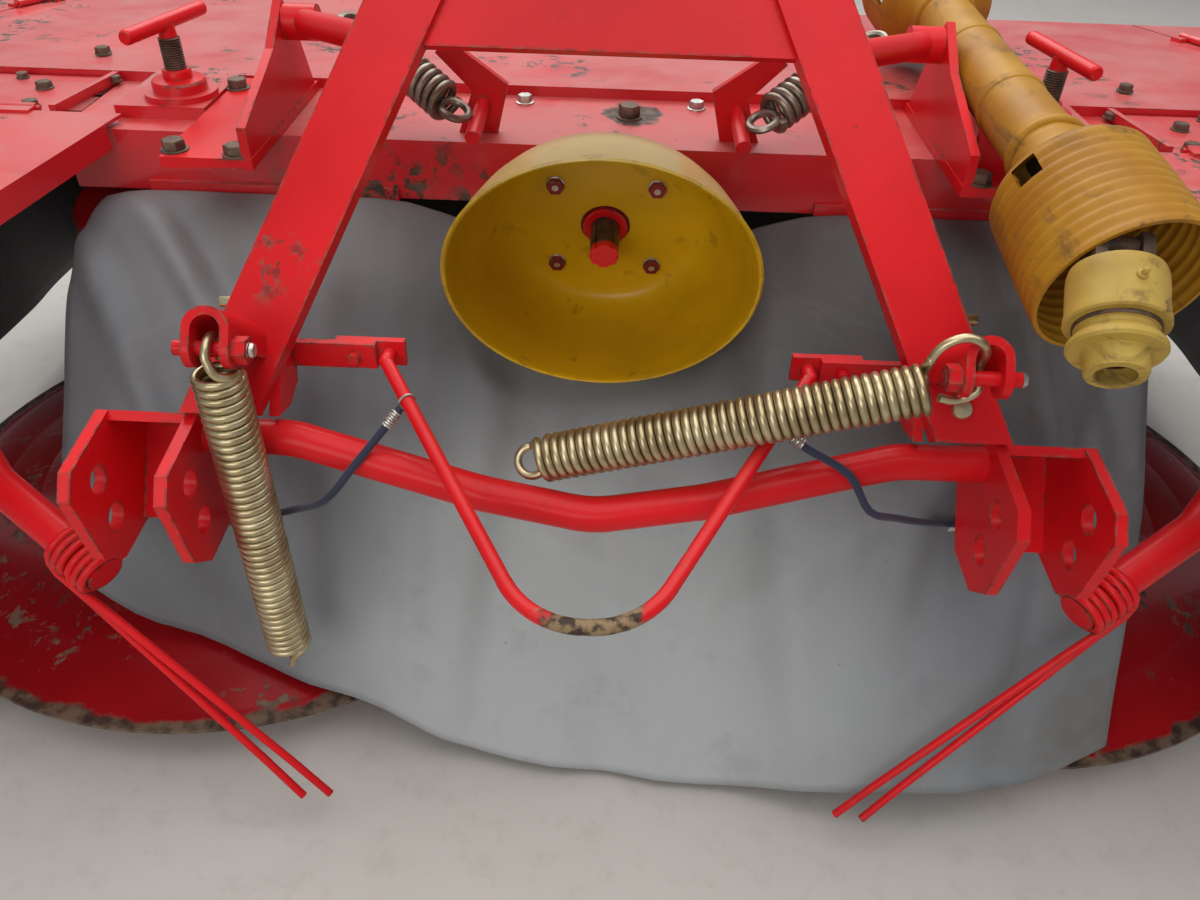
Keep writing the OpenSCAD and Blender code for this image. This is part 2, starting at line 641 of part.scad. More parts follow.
// Flat bars from the legs to the bow's ends, bolted half way
bow_clearance = 0.25;
bow_link_y = bow_top[1] + 8;
module bow_links() color(red) {
    place() both_sides() {
        translate([-319, bow_link_y, bow_top[2] - 14]) cube([95, 8, 28]);
        difference() {
            translate([-266, bow_link_y + 8, bow_top[2] - 14]) cube([266 - bow_top[0] + 16, 8, 28]);
            translate([-bow_top[0], bow_link_y + 20, bow_top[2]]) rotate([90, 0, 0])
                cylinder(d = bow_d + 2 * bow_clearance, h = 40);
        }
        translate([-246, bow_link_y + 24, bow_top[2]]) rotate([90, 0, 0]) cylinder(d = 12, h = 32);
    }
    on_headstock() both_sides() cross_plate([
        [leg_t, 20], [leg_t + 34, 34], [leg_t + 52, 60], [leg_t + 40, 96], [leg_t, 124]
    ], -314, 10);
}

// Shackles on the legs: a bent strap with a bolt that a relief spring hooks on to
shackle = [-338, -75, 75];
shackle_half = 21;
shackle_t = 8;
shackle_end_r = 17;
shackle_rise = 15;
shackle_bolt_d = 14;
module spring_shackles() color(red) on_headstock() both_sides() translate([shackle[0], 0, shackle[2]]) {
    translate([0, 0, shackle_rise]) rotate([90, 0, 0]) difference() {
        union() {
            cylinder(r = shackle_half, h = -shackle[1] + shackle_end_r);
            translate([-shackle_half, -shackle_rise, 0])
                cube([2 * shackle_half, shackle_rise, -shackle[1] + shackle_end_r]);
        }
        translate([0, 0, -1]) cylinder(r = shackle_half - shackle_t, h = 120);
        translate([shackle_t - shackle_half, -60, -1]) cube([2 * (shackle_half - shackle_t), 60, 120]);
    }
    for (s = [-1, 1]) translate([s * (shackle_half - shackle_t / 2), shackle[1], 0]) rotate([0, 90, 0])
        cylinder(r = shackle_end_r, h = shackle_t, center = true);
    translate([-shackle_half - 12, shackle[1], 0]) rotate([0, 90, 0])
        cylinder(d = shackle_bolt_d, h = 2 * shackle_half + 26);
    translate([shackle_half, shackle[1], 0]) rotate([0, 90, 0]) cylinder(d = 25, h = 12, $fn = 6);
}

// Close-coiled spring along Z with a ring hook at its far end, and at its near end if it has a rise
module coil_spring(length, d, wire, rise) {
    difference() {
        cylinder(d = d, h = length);
        translate([0, 0, -1]) cylinder(d = d - 2 * wire, h = length + 2);
    }
    for (end = [[0, -rise], [length, 8]]) if (end[1] != 0) translate([0, 0, end[0] + end[1]])
        rotate([0, 90, 0]) rotate_extrude() translate([(d - wire) / 2 - wire * 0.4, 0]) circle(d = wire, $fn = 24);
}

// A spring from point a, pointing towards point b
module spring_between(a, b, length, d, wire, rise) {
    v = b - a;
    translate(a) rotate([0, atan2(norm([v[0], v[1]]), v[2]), atan2(v[1], v[0])])
        coil_spring(length, d, wire, rise);
}

hook_rise = 14.2;
hook_reach = 19.5;
relief_left_pin = head_point(shackle);
relief_left_end = relief_left_pin + [0, 0, -400];
tube_clearance = [0, -0.6, 0];
relief_right_pin = [-shackle[0], relief_left_pin[1], relief_left_pin[2]];
relief_right_end = [-41, -436, 473];
side_reach = 41;

module left_relief_spring() color(zinc_gold) place() translate(tube_clearance) {
    u = unit(relief_left_end - relief_left_pin);
    spring_between(relief_left_pin + u * hook_reach, relief_left_end, relief_len, relief_d, relief_wire, hook_rise);
}

// The right spring is swung across and rests on the bow, so its hook is bent round the near strap
side_hook = [[-49, -1, 4], [-30, -22, 16], [-6, -23, 22], [1, 11.55, 17], [1, 11.55, -9]];
module right_relief_spring() color(zinc_gold) place() {
    u = unit(relief_right_end - relief_right_pin);
    spring_between(relief_right_pin + u * side_reach, relief_right_end, relief_len, relief_d, relief_wire, 0);
    bent_rod([for (p = side_hook) head_point([-shackle[0], shackle[1], shackle[2]] + p)], relief_wire, 9);
}

// Brackets on the beam that carry the headstock's pivot pipes
pivot = [half - 129, -4, 760];
base_t = 12;
swing_plate_x = half - 139;
saddle_y = -150;
pivot_pin_d = 20;
module swing_brackets() color(red) {
    place() both_sides() {
        translate([45 - half, -190, beam_top_z]) cube([100, 270, base_t]);
        cross_plate([
            [-188, beam_top_z + base_t], [70, beam_top_z + base_t], [pivot[1] + 26, pivot[2]],
            [pivot[1], pivot[2] + 26], [-60, 745], [-188, 700]
        ], -swing_plate_x, 10);
        translate([-swing_plate_x, pivot[1], pivot[2]]) rotate([0, 90, 0]) cylinder(d = pivot_pin_d, h = 45);
    }
    difference() {
        place() translate([half - 125, saddle_y, beam_top_z + base_t]) cube([64, 10, 50]);
        on_shaft() cylinder(d = guard_d + 0.6, h = 600);
    }
}

// Arms from the back of the legs to the pivot pipes
pivot_clearance = 0.25;
arm_foot = [-215, leg_t, 395];
arm_foot_size = [44, 14, 60];
module pivot_arms() color(red) {
    on_headstock() both_sides()
        translate(arm_foot - [arm_foot_size[0] / 2, 0, arm_foot_size[2] / 2]) cube(arm_foot_size);
    place() both_sides() difference() {
        union() {
            translate([-swing_plate_x + 5.3, pivot[1], pivot[2]]) rotate([0, 90, 0]) cylinder(d = 40, h = 38);
            rod([163 - half, pivot[1], pivot[2]], head_point(arm_foot + [0, arm_foot_size[1] + 4, 0]), 30);
        }
        translate([-swing_plate_x, pivot[1], pivot[2]]) rotate([0, 90, 0])
            cylinder(d = pivot_pin_d + 2 * pivot_clearance, h = 60);
    }
}

// Short springs between the pivot brackets and the anchors on the beam
balance_low = [-180.4, -89.8, 698.6];
balance_high = [180 - half, 25, 785];
balance_len = 150;
module balance_springs() color(steel) place() both_sides()
    spring_between(balance_low, balance_high, balance_len, balance_d, balance_wire, 8);

// Bent flat-bar anchors with a pin that points to the tractor
module spring_anchors() color(red) place() both_sides() {
    translate([0, -42, 0]) rotate([90, 0, 0]) linear_extrude(10) polygon([
        [-200, 745], [-185, 760], [-118, 712], [-132, beam_top_z], [-178, beam_top_z], [-160, 704]
    ]);
    rod([-148, -48, 690], [-152, -122, 674], 17.4);
}

// Oblique yellow shield round the input shaft
rim_centre = [0, -283, 582];
rim_tilt = 18.9;
module shield_body(grow, back, front) hull() {
    translate([0, face_y, face_z]) rotate([90 + input_tilt, 0, 0])
        translate([0, 0, back]) cylinder(r = shield_back_r + grow, h = 1, $fn = 64);
    translate(rim_centre) rotate([90 + rim_tilt, 0, 0])
        translate([0, 0, front]) cylinder(r = shield_r + grow, h = 1, $fn = 64);
}
module gearbox_shield() color(mustard) place() difference() {
    shield_body(0, 0, -1);
    shield_body(-shield_t, shield_t, 0.5);
    translate([0, face_y, face_z]) rotate([90 + input_tilt, 0, 0]) translate([0, 0, -5]) cylinder(d = 60, h = 20);
}

// Splined input shaft, reaching into the gearbox
module input_shaft() color(steel) on_face() {
    difference() {
        translate([0, 0, 1 - shaft_depth]) cylinder(d = input_d, h = input_len + shaft_depth - 1);
        for (a = [0 : 60 : 300]) rotate([0, 0, a]) translate([input_d / 2 - 1.8, -3, 14]) cube([4, 6, input_len]);
    }
}

// Drive shaft with its guards, laid over the covers on the right
shaft_far = [half - 89, 194, 745];
shaft_near = [half - 100, -433, 723];
shaft_len = 790;
shaft_dir = (shaft_far - shaft_near) / norm(shaft_far - shaft_near);
module on_shaft() place() translate(shaft_near)
    rotate([0, atan2(norm([shaft_dir[0], shaft_dir[1]]), shaft_dir[2]), atan2(shaft_dir[1], shaft_dir[0])]) children();

guard_from = 158;
guard_to = 634;
module shaft_guard() color(shaft_yellow) on_shaft() difference() {
    translate([0, 0, guard_from]) cylinder(d = guard_d, h = guard_to - guard_from);
    translate([0, 0, guard_from - 1]) cylinder(d = guard_d - 8, h = guard_to - guard_from + 2);
}

// Cone profile: [distance, outer radius] pairs from the open end
cone_t = 4;
cone_fit = 0.3;
cone_profile = [[0, cone_d / 2], [100, cone_d / 2], [128, cone_d / 2 - 23], [160, guard_d / 2 + cone_t + cone_fit]];
module guard_cone() difference() {
    rotate_extrude($fn = 72) polygon(concat(
        [for (p = cone_profile) [p[1], p[0]]],
        [for (i = [len(cone_profile) - 1 : -1 : 0]) [cone_profile[i][1] - cone_t, cone_profile[i][0]]]
    ));
}
module shaft_cones() color(shaft_yellow) on_shaft() {
    guard_cone();
    translate([0, 0, shaft_len]) mirror([0, 0, 1]) guard_cone();
}

module shaft_yokes() color(shaft_yellow) on_shaft() {
    translate([0, 0, 60]) cylinder(d = 52, h = 160);
    translate([0, 0, 160]) cylinder(d = guard_d - 8, h = 12);
    rotate([0, -32, 0]) translate([0, 0, -70]) cylinder(d = 74, h = 120);
}

// Tine bars behind the curtain's ends, each with two spring tines
tine_route = [[511, -479, 325], [650, -400, 380], [900, -150, 540], [925, -5, 540], [925, -5, beam_top_z - 5 - arm_h]];
tine_tip = [292, -561, 60];
tine_pitch = 30;
module tine_bars() color(red) place() both_sides() {
    bent_rod(tine_route, tine_bar_d, 70);
    along = unit(tine_route[1] - tine_route[0]);
    for (s = [0, 1]) {
        centre = tine_route[0] + along * (14 + s * tine_pitch);
        rod(centre - along * tine_d, centre + along * tine_d, tine_bar_d + 2 * tine_d);
        rod(centre + [0, -tine_bar_d / 2, 0], tine_tip + s * [tine_pitch, -4, 0], tine_d);
    }
}

main_beam();
centre_gearbox();
cover_frame();
front_cover();
side_covers();
drum_seats();
height_spindles();
drum_columns();
skid_dishes();
left_drum();
right_drum();
left_knives();
right_knives();
left_rear_flap();
right_rear_flap();
left_front_flap();
right_front_flap();
left_rear_skirt();
right_rear_skirt();
left_front_skirt();
right_front_skirt();
front_curtain();
rear_curtain();
curtain_clips();
tie_cords();
left_leg();
right_leg();
top_plate();
left_link_bracket();
right_link_bracket();
spreader_tube();
drive_bow();
bow_links();
spring_shackles();
left_relief_spring();
right_relief_spring();
swing_brackets();
pivot_arms();
balance_springs();
spring_anchors();
gearbox_shield();
input_shaft();
shaft_guard();
shaft_cones();
shaft_yokes();
tine_bars();
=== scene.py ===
import math
import random

import bmesh
import bpy
from mathutils import Matrix, Vector, noise


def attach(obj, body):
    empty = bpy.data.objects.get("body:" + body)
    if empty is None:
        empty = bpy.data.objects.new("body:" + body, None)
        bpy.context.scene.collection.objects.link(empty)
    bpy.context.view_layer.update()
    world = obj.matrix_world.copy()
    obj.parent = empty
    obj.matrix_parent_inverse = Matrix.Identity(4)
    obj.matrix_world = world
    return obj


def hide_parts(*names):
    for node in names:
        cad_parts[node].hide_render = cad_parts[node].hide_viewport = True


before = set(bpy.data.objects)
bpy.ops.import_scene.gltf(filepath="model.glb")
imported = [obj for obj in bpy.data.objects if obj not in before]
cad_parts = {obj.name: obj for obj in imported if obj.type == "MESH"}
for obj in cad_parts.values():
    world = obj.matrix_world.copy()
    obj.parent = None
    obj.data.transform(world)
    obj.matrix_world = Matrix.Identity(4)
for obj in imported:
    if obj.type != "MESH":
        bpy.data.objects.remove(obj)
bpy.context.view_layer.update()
random.seed(7)
R = math.radians


def at(x, y, z):
    return Matrix.Translation((x, y, z))


def turn(degrees, axis):
    return Matrix.Rotation(R(degrees), 4, axis)


def around(r, angle, z=0.0):
    """A point at a radius and an angle about Z."""
    return Vector((r * math.cos(angle), r * math.sin(angle), z))


def between(u, v, angle):
    """The way at an angle from u towards v."""
    return math.cos(angle) * u + math.sin(angle) * v


def turns(count):
    """The angles of a whole circle in equal steps."""
    return [2 * math.pi * i / count for i in range(count)]


def added(name, data):
    """A new object in the scene."""
    o = bpy.data.objects.new(name, data)
    bpy.context.scene.collection.objects.link(o)
    return o


# frames, in millimetres and degrees: the rotors' axes, the headstock's lean and the input's tilt
AXLE_Y = -2
HALF = 525
PLACE = at(0, AXLE_Y, 0)
LEAN = 38.3
INPUT_TILT = 15.5
FACE_AT = (0, -86 + AXLE_Y, 561)
HEAD = at(0, -458 + AXLE_Y, 502) @ turn(-LEAN, "X")
FACE = at(*FACE_AT) @ turn(90 + INPUT_TILT, "X")


def frame_to(origin, z, x=(1, 0, 0)):
    """A matrix with its origin at a point, its Z along z and its X as near to x as that allows."""
    z = Vector(z).normalized()
    y = z.cross(Vector(x)).normalized()
    x = y.cross(z)
    m = Matrix((x, y, z)).transposed().to_4x4()
    m.translation = Vector(origin)
    return m


SHAFT_NEAR = Vector((425, -433 + AXLE_Y, 723))
SHAFT_FAR = Vector((436, 194 + AXLE_Y, 745))
SHAFT_DIR = SHAFT_FAR - SHAFT_NEAR
SHAFT = (Matrix.Translation(SHAFT_NEAR) @ Matrix.Rotation(math.atan2(SHAFT_DIR.y, SHAFT_DIR.x), 4, "Z")
         @ Matrix.Rotation(math.atan2(math.hypot(SHAFT_DIR.x, SHAFT_DIR.y), SHAFT_DIR.z), 4, "Y"))


# the photograph's camera: place in metres, angles in degrees, lens and picture width in millimetres
CAMERA_AT = (0.0115, -1.1718, 1.0640)
CAMERA_DOWN, CAMERA_ROLL, CAMERA_YAW = 38.306, -1.968, -0.458
CAMERA_LENS, PICTURE_WIDTH = 28.5, 36


def add_camera():
    """The camera that was matched with the photograph."""
    ro, ya, th = R(CAMERA_ROLL), R(CAMERA_YAW), R(CAMERA_DOWN)
    f = Vector((math.sin(ya) * math.cos(th), math.cos(ya) * math.cos(th), -math.sin(th)))
    r = Vector((math.cos(ya), -math.sin(ya), 0))
    d = f.cross(r)
    right = r * math.cos(ro) + d * math.sin(ro)
    down = -r * math.sin(ro) + d * math.cos(ro)
    cam = added("Camera", bpy.data.cameras.new("Camera"))
    m = Matrix((right, -down, -f)).transposed().to_4x4()
    m.translation = Vector(CAMERA_AT)
    cam.matrix_world = m
    cam.data.sensor_width = PICTURE_WIDTH
    cam.data.lens = CAMERA_LENS
    cam.data.clip_start = 0.02
    cam.data.clip_end = 60
    bpy.context.scene.camera = cam


add_camera()


# materials
class Nodes:
    """A short hand for building one material's node tree."""

    def __init__(self, name):
        self.mat = bpy.data.materials.new(name)
        self.mat.use_nodes = True
        self.tree = self.mat.node_tree
        self.shader = self.tree.nodes["Principled BSDF"]
        self.coord = self.tree.nodes.new("ShaderNodeTexCoord").outputs["Object"]

    def node(self, kind, inputs=(), **props):
        n = self.tree.nodes.new(kind)
        for k, v in props.items():
            setattr(n, k, v)
        for k, v in dict(inputs).items():
            if hasattr(v, "is_output"):
                self.tree.links.new(v, n.inputs[k])
            else:
                n.inputs[k].default_value = v
        return n

    def math(self, op, a, b=0.0, clamp=False):
        n = self.node("ShaderNodeMath", {0: a, 1: b}, operation=op)
        n.use_clamp = clamp
        return n.outputs[0]

    def plus(self, a, b, clamp=False):
        return self.math("ADD", a, b, clamp)

    def minus(self, a, b):
        return self.math("SUBTRACT", a, b)

    def times(self, a, b):
        return self.math("MULTIPLY", a, b)

    def most(self, a, b):
        return self.math("MAXIMUM", a, b)

    def away(self, place):
        """How far a point of the piece lies from a place, in metres."""
        n = self.node("ShaderNodeVectorMath", {0: self.coord, 1: place}, operation="DISTANCE")
        return n.outputs["Value"]

    def noise(self, scale, detail=4, rough=0.55, distortion=0.0, stretch=None):
        v = self.coord
        if stretch:
            v = self.node("ShaderNodeVectorMath", {0: v, 1: stretch}, operation="MULTIPLY").outputs[0]
        n = self.node("ShaderNodeTexNoise", {"Vector": v, "Scale": scale, "Detail": detail,
                                             "Roughness": rough, "Distortion": distortion})
        return n.outputs["Fac"]

    def ramp(self, fac, low, high):
        """0 below low and 1 above high."""
        n = self.node("ShaderNodeMapRange", {"Value": fac, "From Min": low, "From Max": high})
        n.interpolation_type = "SMOOTHSTEP"
        return n.outputs["Result"]

    def mix(self, fac, a, b):
        n = self.tree.nodes.new("ShaderNodeMix")
        n.data_type = "RGBA"
        for k, v in ((0, fac), (6, a), (7, b)):
            if hasattr(v, "is_output"):
                self.tree.links.new(v, n.inputs[k])
            elif k == 0:
                n.inputs[k].default_value = v
            else:
                n.inputs[k].default_value = (*v, 1)
        return n.outputs[2]

    def set(self, name, value):
        if hasattr(value, "is_output"):
            self.tree.links.new(value, self.shader.inputs[name])
        else:
            self.shader.inputs[name].default_value = value

    def bump(self, height, strength, distance=0.001):
        n = self.node("ShaderNodeBump", {"Height": height, "Strength": strength, "Distance": distance})
        self.set("Normal", n.outputs["Normal"])

    def edge(self, radius):
        """1 along the sharp edges of a piece, where its rounded and its flat normal differ."""
        bevel = self.node("ShaderNodeBevel", {"Radius": radius}, samples=4).outputs[0]
        normal = self.node("ShaderNodeNewGeometry").outputs["Normal"]
        dot = self.node("ShaderNodeVectorMath", {0: bevel, 1: normal}, operation="DOT_PRODUCT")
        return self.ramp(self.minus(1.0, dot.outputs["Value"]), 0.03, 0.16)

    def axes(self, vector=None):
        return self.node("ShaderNodeSeparateXYZ", {0: vector or self.coord}).outputs

    def up(self):
        return self.axes(self.node("ShaderNodeNewGeometry").outputs["Normal"])["Z"]


def painted(name, base, dark, chip=(0.07, 0.045, 0.035), bare=(0.22, 0.17, 0.13), dust=(0.55, 0.26, 0.22),
            chips=0.62, patches=1.0, dusty=0.3, rough=(0.24, 0.42), edge_radius=0.004, edge_cut=0.5,
            coat=0.25, gloss=0.5, spot=None):
    """Gloss paint with colour drift, dust on what faces up, chipped patches and worn edges."""
    m = Nodes(name)
    drift = m.noise(3.1, 3)
    colour = m.mix(m.ramp(drift, 0.35, 0.7), dark, base)
    blotch = m.noise(9.0, 5, 0.6, 0.3)
    upward = m.ramp(m.up(), 0.55, 0.95)
    film = m.times(upward, m.times(m.ramp(blotch, 0.2, 0.75), dusty))
    colour = m.mix(film, colour, dust)
    grime = m.ramp(m.noise(26.0, 6, 0.65), 0.58, 0.75)
    colour = m.mix(m.times(grime, 0.25), colour, tuple(c * 0.45 for c in dark))
    fine = m.noise(38.0, 9, 0.68, 0.4)
    region = m.ramp(m.noise(5.5, 2), chips - 0.02, chips + 0.05)
    chipped = m.times(region, m.ramp(fine, 0.52, 0.56))
    chipped = m.times(chipped, patches)
    specks = m.ramp(m.noise(120.0, 3, 0.6), 0.735, 0.755)
    worn = m.times(m.edge(edge_radius), m.ramp(m.noise(60.0, 6, 0.7), edge_cut, edge_cut + 0.06))
    worn_deep = m.times(worn, m.ramp(m.noise(14.0, 3), 0.40, 0.54))
    lost = m.most(m.most(chipped, specks), worn_deep)
    if spot:
        away = m.away(spot[:3])
        away = m.plus(away, m.times(m.minus(m.noise(40.0, 5), 0.5), spot[3]))
        lost = m.most(lost, m.minus(1.0, m.ramp(away, spot[3] * 0.8, spot[3])))
    colour = m.mix(lost, colour, m.mix(m.ramp(m.noise(90.0, 4), 0.4, 0.6), chip, bare))
    m.set("Base Color", colour)
    roughness = m.plus(m.times(blotch, rough[1] - rough[0]), rough[0])
    roughness = m.plus(roughness, m.times(m.most(lost, film), 0.3), clamp=True)
    m.set("Roughness", roughness)
    m.set("Coat Weight", coat)
    m.set("Coat Roughness", 0.12)
    m.set("Specular IOR Level", gloss)
    height = m.minus(m.times(m.noise(180.0, 3), 0.35), lost)
    m.bump(height, 0.35, 0.0006)
    return m.mat


def metal(name, base, dark, rust=(0.13, 0.06, 0.03), rusty=0.55, rough=(0.3, 0.55), metallic=0.85,
          scale=30.0):
    """Bare or plated metal with stains and rust in patches."""
    m = Nodes(name)
    stain = m.noise(scale, 6, 0.6, 0.2)
    colour = m.mix(m.ramp(stain, 0.35, 0.68), dark, base)
    spots = m.ramp(m.noise(scale * 2.3, 7, 0.68), rusty, rusty + 0.1)
    colour = m.mix(spots, colour, rust)
    m.set("Base Color", colour)
    m.set("Metallic", m.minus(metallic, m.times(spots, metallic * 0.8)))
    m.set("Roughness", m.plus(rough[0], m.times(m.most(stain, spots), rough[1] - rough[0]), clamp=True))
    m.bump(m.noise(scale * 8, 4), 0.25, 0.0004)
    return m.mat


def drum_paint():
    """Red rotor paint, worn to brown steel along the lip and scuffed in its dish."""
    m = Nodes("rotor_paint")
    sep = m.axes()
    dx = m.minus(m.math("ABSOLUTE", sep["X"]), HALF / 1000)
    dy = m.minus(sep["Y"], AXLE_Y / 1000)
    radius = m.math("SQRT", m.plus(m.times(dx, dx), m.times(dy, dy)))
    wobble = m.times(m.minus(m.noise(14.0, 6, 0.65), 0.5), 0.045)
    lip = m.ramp(m.plus(radius, wobble), 0.478, 0.486)
    colour = m.mix(m.ramp(m.noise(4.0, 3), 0.35, 0.7), (0.28, 0.004, 0.007), (0.42, 0.008, 0.012))
    scuffs = m.times(m.ramp(m.noise(6.0, 2), 0.5, 0.56), m.ramp(m.noise(34.0, 8, 0.7, 0.5), 0.55, 0.58))
    specks = m.ramp(m.noise(110.0, 3), 0.72, 0.74)
    lost = m.most(m.most(lip, scuffs), specks)
    brown = m.mix(m.ramp(m.noise(50.0, 6), 0.38, 0.62), (0.055, 0.03, 0.022), (0.2, 0.13, 0.085))
    m.set("Base Color", m.mix(lost, colour, brown))
    m.set("Roughness", m.plus(0.26, m.times(lost, 0.35)))
    m.set("Metallic", m.times(lip, 0.35))
    m.set("Coat Weight", 0.2)
    m.bump(m.minus(m.times(m.noise(140.0, 4), 0.3), lost), 0.4, 0.0008)
    return m.mat


def mustard_paint(name, pale):
    """Dark yellow paint, faded on what faces up where it is pale."""
    m = Nodes(name)
    colour = m.mix(m.ramp(m.noise(5.0, 3), 0.3, 0.7), (0.50, 0.29, 0.004), (0.70, 0.41, 0.006))
    if pale:
        faded = m.ramp(m.plus(m.up(), m.times(m.noise(12.0, 5), 0.35)), 0.15, 0.7)
        colour = m.mix(faded, colour, (0.46, 0.33, 0.12))
    colour = m.mix(m.times(m.ramp(m.noise(30.0, 6, 0.65), 0.6, 0.7), 0.35), colour, (0.14, 0.09, 0.01))
    worn = m.times(m.edge(0.002), m.ramp(m.noise(50.0, 5), 0.5, 0.56))
    colour = m.mix(worn, colour, (0.12, 0.08, 0.03))
    m.set("Base Color", colour)
    m.set("Roughness", m.plus(0.2, m.times(m.noise(16.0, 4), 0.25)))
    m.set("Coat Weight", 0.08)
    m.set("Specular IOR Level", 0.3)
    m.bump(m.noise(120.0, 3), 0.15, 0.0005)
    return m.mat


def dirty_plastic(name, base, dark, smear):
    """Yellow plastic or paint with smeared grease."""
    m = Nodes(name)
    colour = m.mix(m.ramp(m.noise(7.0, 4, 0.6), 0.3, 0.72), dark, base)
    streak = m.noise(24.0, 7, 0.68, 0.8, stretch=(1.0, 0.35, 1.6))
    colour = m.mix(m.times(m.ramp(streak, 0.52, 0.68), 0.75), colour, smear)
    colour = m.mix(m.ramp(m.noise(11.0, 6, 0.7, 0.4), 0.66, 0.7), colour, (0.09, 0.05, 0.025))
    m.set("Base Color", colour)
    m.set("Roughness", m.plus(0.32, m.times(streak, 0.35)))
    m.set("Specular IOR Level", 0.28)
    m.bump(m.plus(m.noise(60.0, 6), m.times(streak, 0.5)), 0.3, 0.0008)
    return m.mat


def coated_cloth(name, light, mid, stain, weave=900.0, stain_box=None, rough=0.42, painted_light_areas=()):
    """Coated fabric: a fine weave under the coat, soft clouds, scuffs, painted highlights on creases and
    areas of painted light and shade.
    """
    m = Nodes(name)
    colour = m.mix(m.ramp(m.noise(2.6, 4, 0.6, 0.6), 0.32, 0.7), mid, light)
    # areas of painted light and shade: the colour turns paler or darker about each place
    for place, reach, painted_tint, share in painted_light_areas:
        away = m.away(place)
        away = m.plus(away, m.times(m.minus(m.noise(2.2, 3), 0.5), 0.25))
        in_painted_area = m.minus(1.0, m.ramp(away, reach * 0.25, reach))
        colour = m.mix(m.times(in_painted_area, share), colour, painted_tint)
    clouds = m.times(m.ramp(m.noise(11.0, 6, 0.7), 0.52, 0.7), 0.16)
    colour = m.mix(clouds, colour, tuple(c * 0.55 for c in mid))
    # pale lines along the creases are a painted highlight
    crease_highlight_noise = m.noise(5.0, 7, 0.62, 1.6)
    off_crease_highlight = m.ramp(m.math("ABSOLUTE", m.minus(crease_highlight_noise, 0.5)), 0.0, 0.03)
    colour = m.mix(m.times(m.minus(1.0, off_crease_highlight), 0.07), colour, tuple(min(1, c * 1.35) for c in light))
    if stain_box:
        sep = m.axes()
        x = m.ramp(sep["X"], stain_box[0], stain_box[1])
        z = m.minus(1.0, m.ramp(sep["Z"], stain_box[2], stain_box[3]))
        mask = m.times(m.times(x, z), m.ramp(m.noise(7.0, 6, 0.65), 0.36, 0.62))
        colour = m.mix(m.times(mask, 0.75), colour, stain)
    spots = m.ramp(m.noise(75.0, 4, 0.6), 0.72, 0.75)
    colour = m.mix(m.times(spots, 0.6), colour, stain)
    m.set("Base Color", colour)
    m.set("Roughness", m.plus(rough, m.times(m.noise(9.0, 4), 0.22)))
    sep = m.axes()
    wx = m.math("SINE", m.times(sep["X"], weave * 6.283))
    wz = m.math("SINE", m.times(m.plus(sep["Z"], sep["Y"]), weave * 6.283))
    cloth = m.times(m.times(wx, wz), 0.06)
    m.bump(m.plus(cloth, m.times(m.noise(16.0, 7, 0.6, 0.5), 1.0)), 0.3, 0.004)
    m.set("Sheen Weight", 0.15)
    return m.mat


RED = painted("red_paint", (0.72, 0.009, 0.014), (0.56, 0.006, 0.010), chip=(0.05, 0.03, 0.022),
              bare=(0.15, 0.10, 0.07), chips=0.66, patches=0.7, dusty=0.04, coat=0.04, gloss=0.2,
              rough=(0.26, 0.42), edge_radius=0.006, edge_cut=0.44)
BOW_RED = painted("bow_paint", (0.72, 0.009, 0.014), (0.56, 0.006, 0.010), chip=(0.05, 0.03, 0.022),
                  bare=(0.28, 0.19, 0.10), chips=0.64, dusty=0.1, coat=0.04, gloss=0.25,
                  spot=(0.006, -0.628, 0.455, 0.046))
DECK = painted("deck_paint", (0.68, 0.016, 0.022), (0.54, 0.010, 0.016), chip=(0.045, 0.028, 0.02),
               bare=(0.13, 0.08, 0.05), dust=(0.52, 0.20, 0.18), chips=0.6, dusty=0.7, rough=(0.3, 0.5),
               coat=0.5, gloss=0.35, spot=(0.03, 0.03, 0.655, 0.042))
# a darker copy of the red paint: painted shade for the parts under the covers and the beam
SHADED_RED = painted("dark_red_paint", (0.30, 0.008, 0.012), (0.16, 0.006, 0.009), dusty=0.15, coat=0.05,
                   rough=(0.45, 0.65))
ROTOR = drum_paint()
STEEL = metal("worn_steel", (0.24, 0.20, 0.165), (0.12, 0.09, 0.07))
SPRING = metal("grey_spring", (0.40, 0.36, 0.30), (0.20, 0.165, 0.13), rusty=0.62, rough=(0.28, 0.5),
               scale=22.0)
ZINC = metal("zinc_bolt", (0.62, 0.60, 0.56), (0.40, 0.37, 0.33), rusty=0.68, rough=(0.25, 0.45), scale=60.0)
GOLD = metal("zinc_gold", (0.62, 0.54, 0.34), (0.40, 0.32, 0.18), rusty=0.7, rough=(0.24, 0.42), scale=26.0,
             metallic=0.9)
BROWN = metal("brown_bolt", (0.17, 0.12, 0.09), (0.08, 0.055, 0.04), rusty=0.5, rough=(0.45, 0.7),
              scale=70.0, metallic=0.6)
MUSTARD = mustard_paint("mustard_paint", False)
MUSTARD_PALE = mustard_paint("mustard_worn", True)
PLASTIC = dirty_plastic("yellow_plastic", (0.46, 0.235, 0.016), (0.31, 0.125, 0.008), (0.15, 0.075, 0.025))
YOKE = dirty_plastic("yellow_steel", (0.50, 0.34, 0.065), (0.30, 0.18, 0.035), (0.13, 0.07, 0.025))
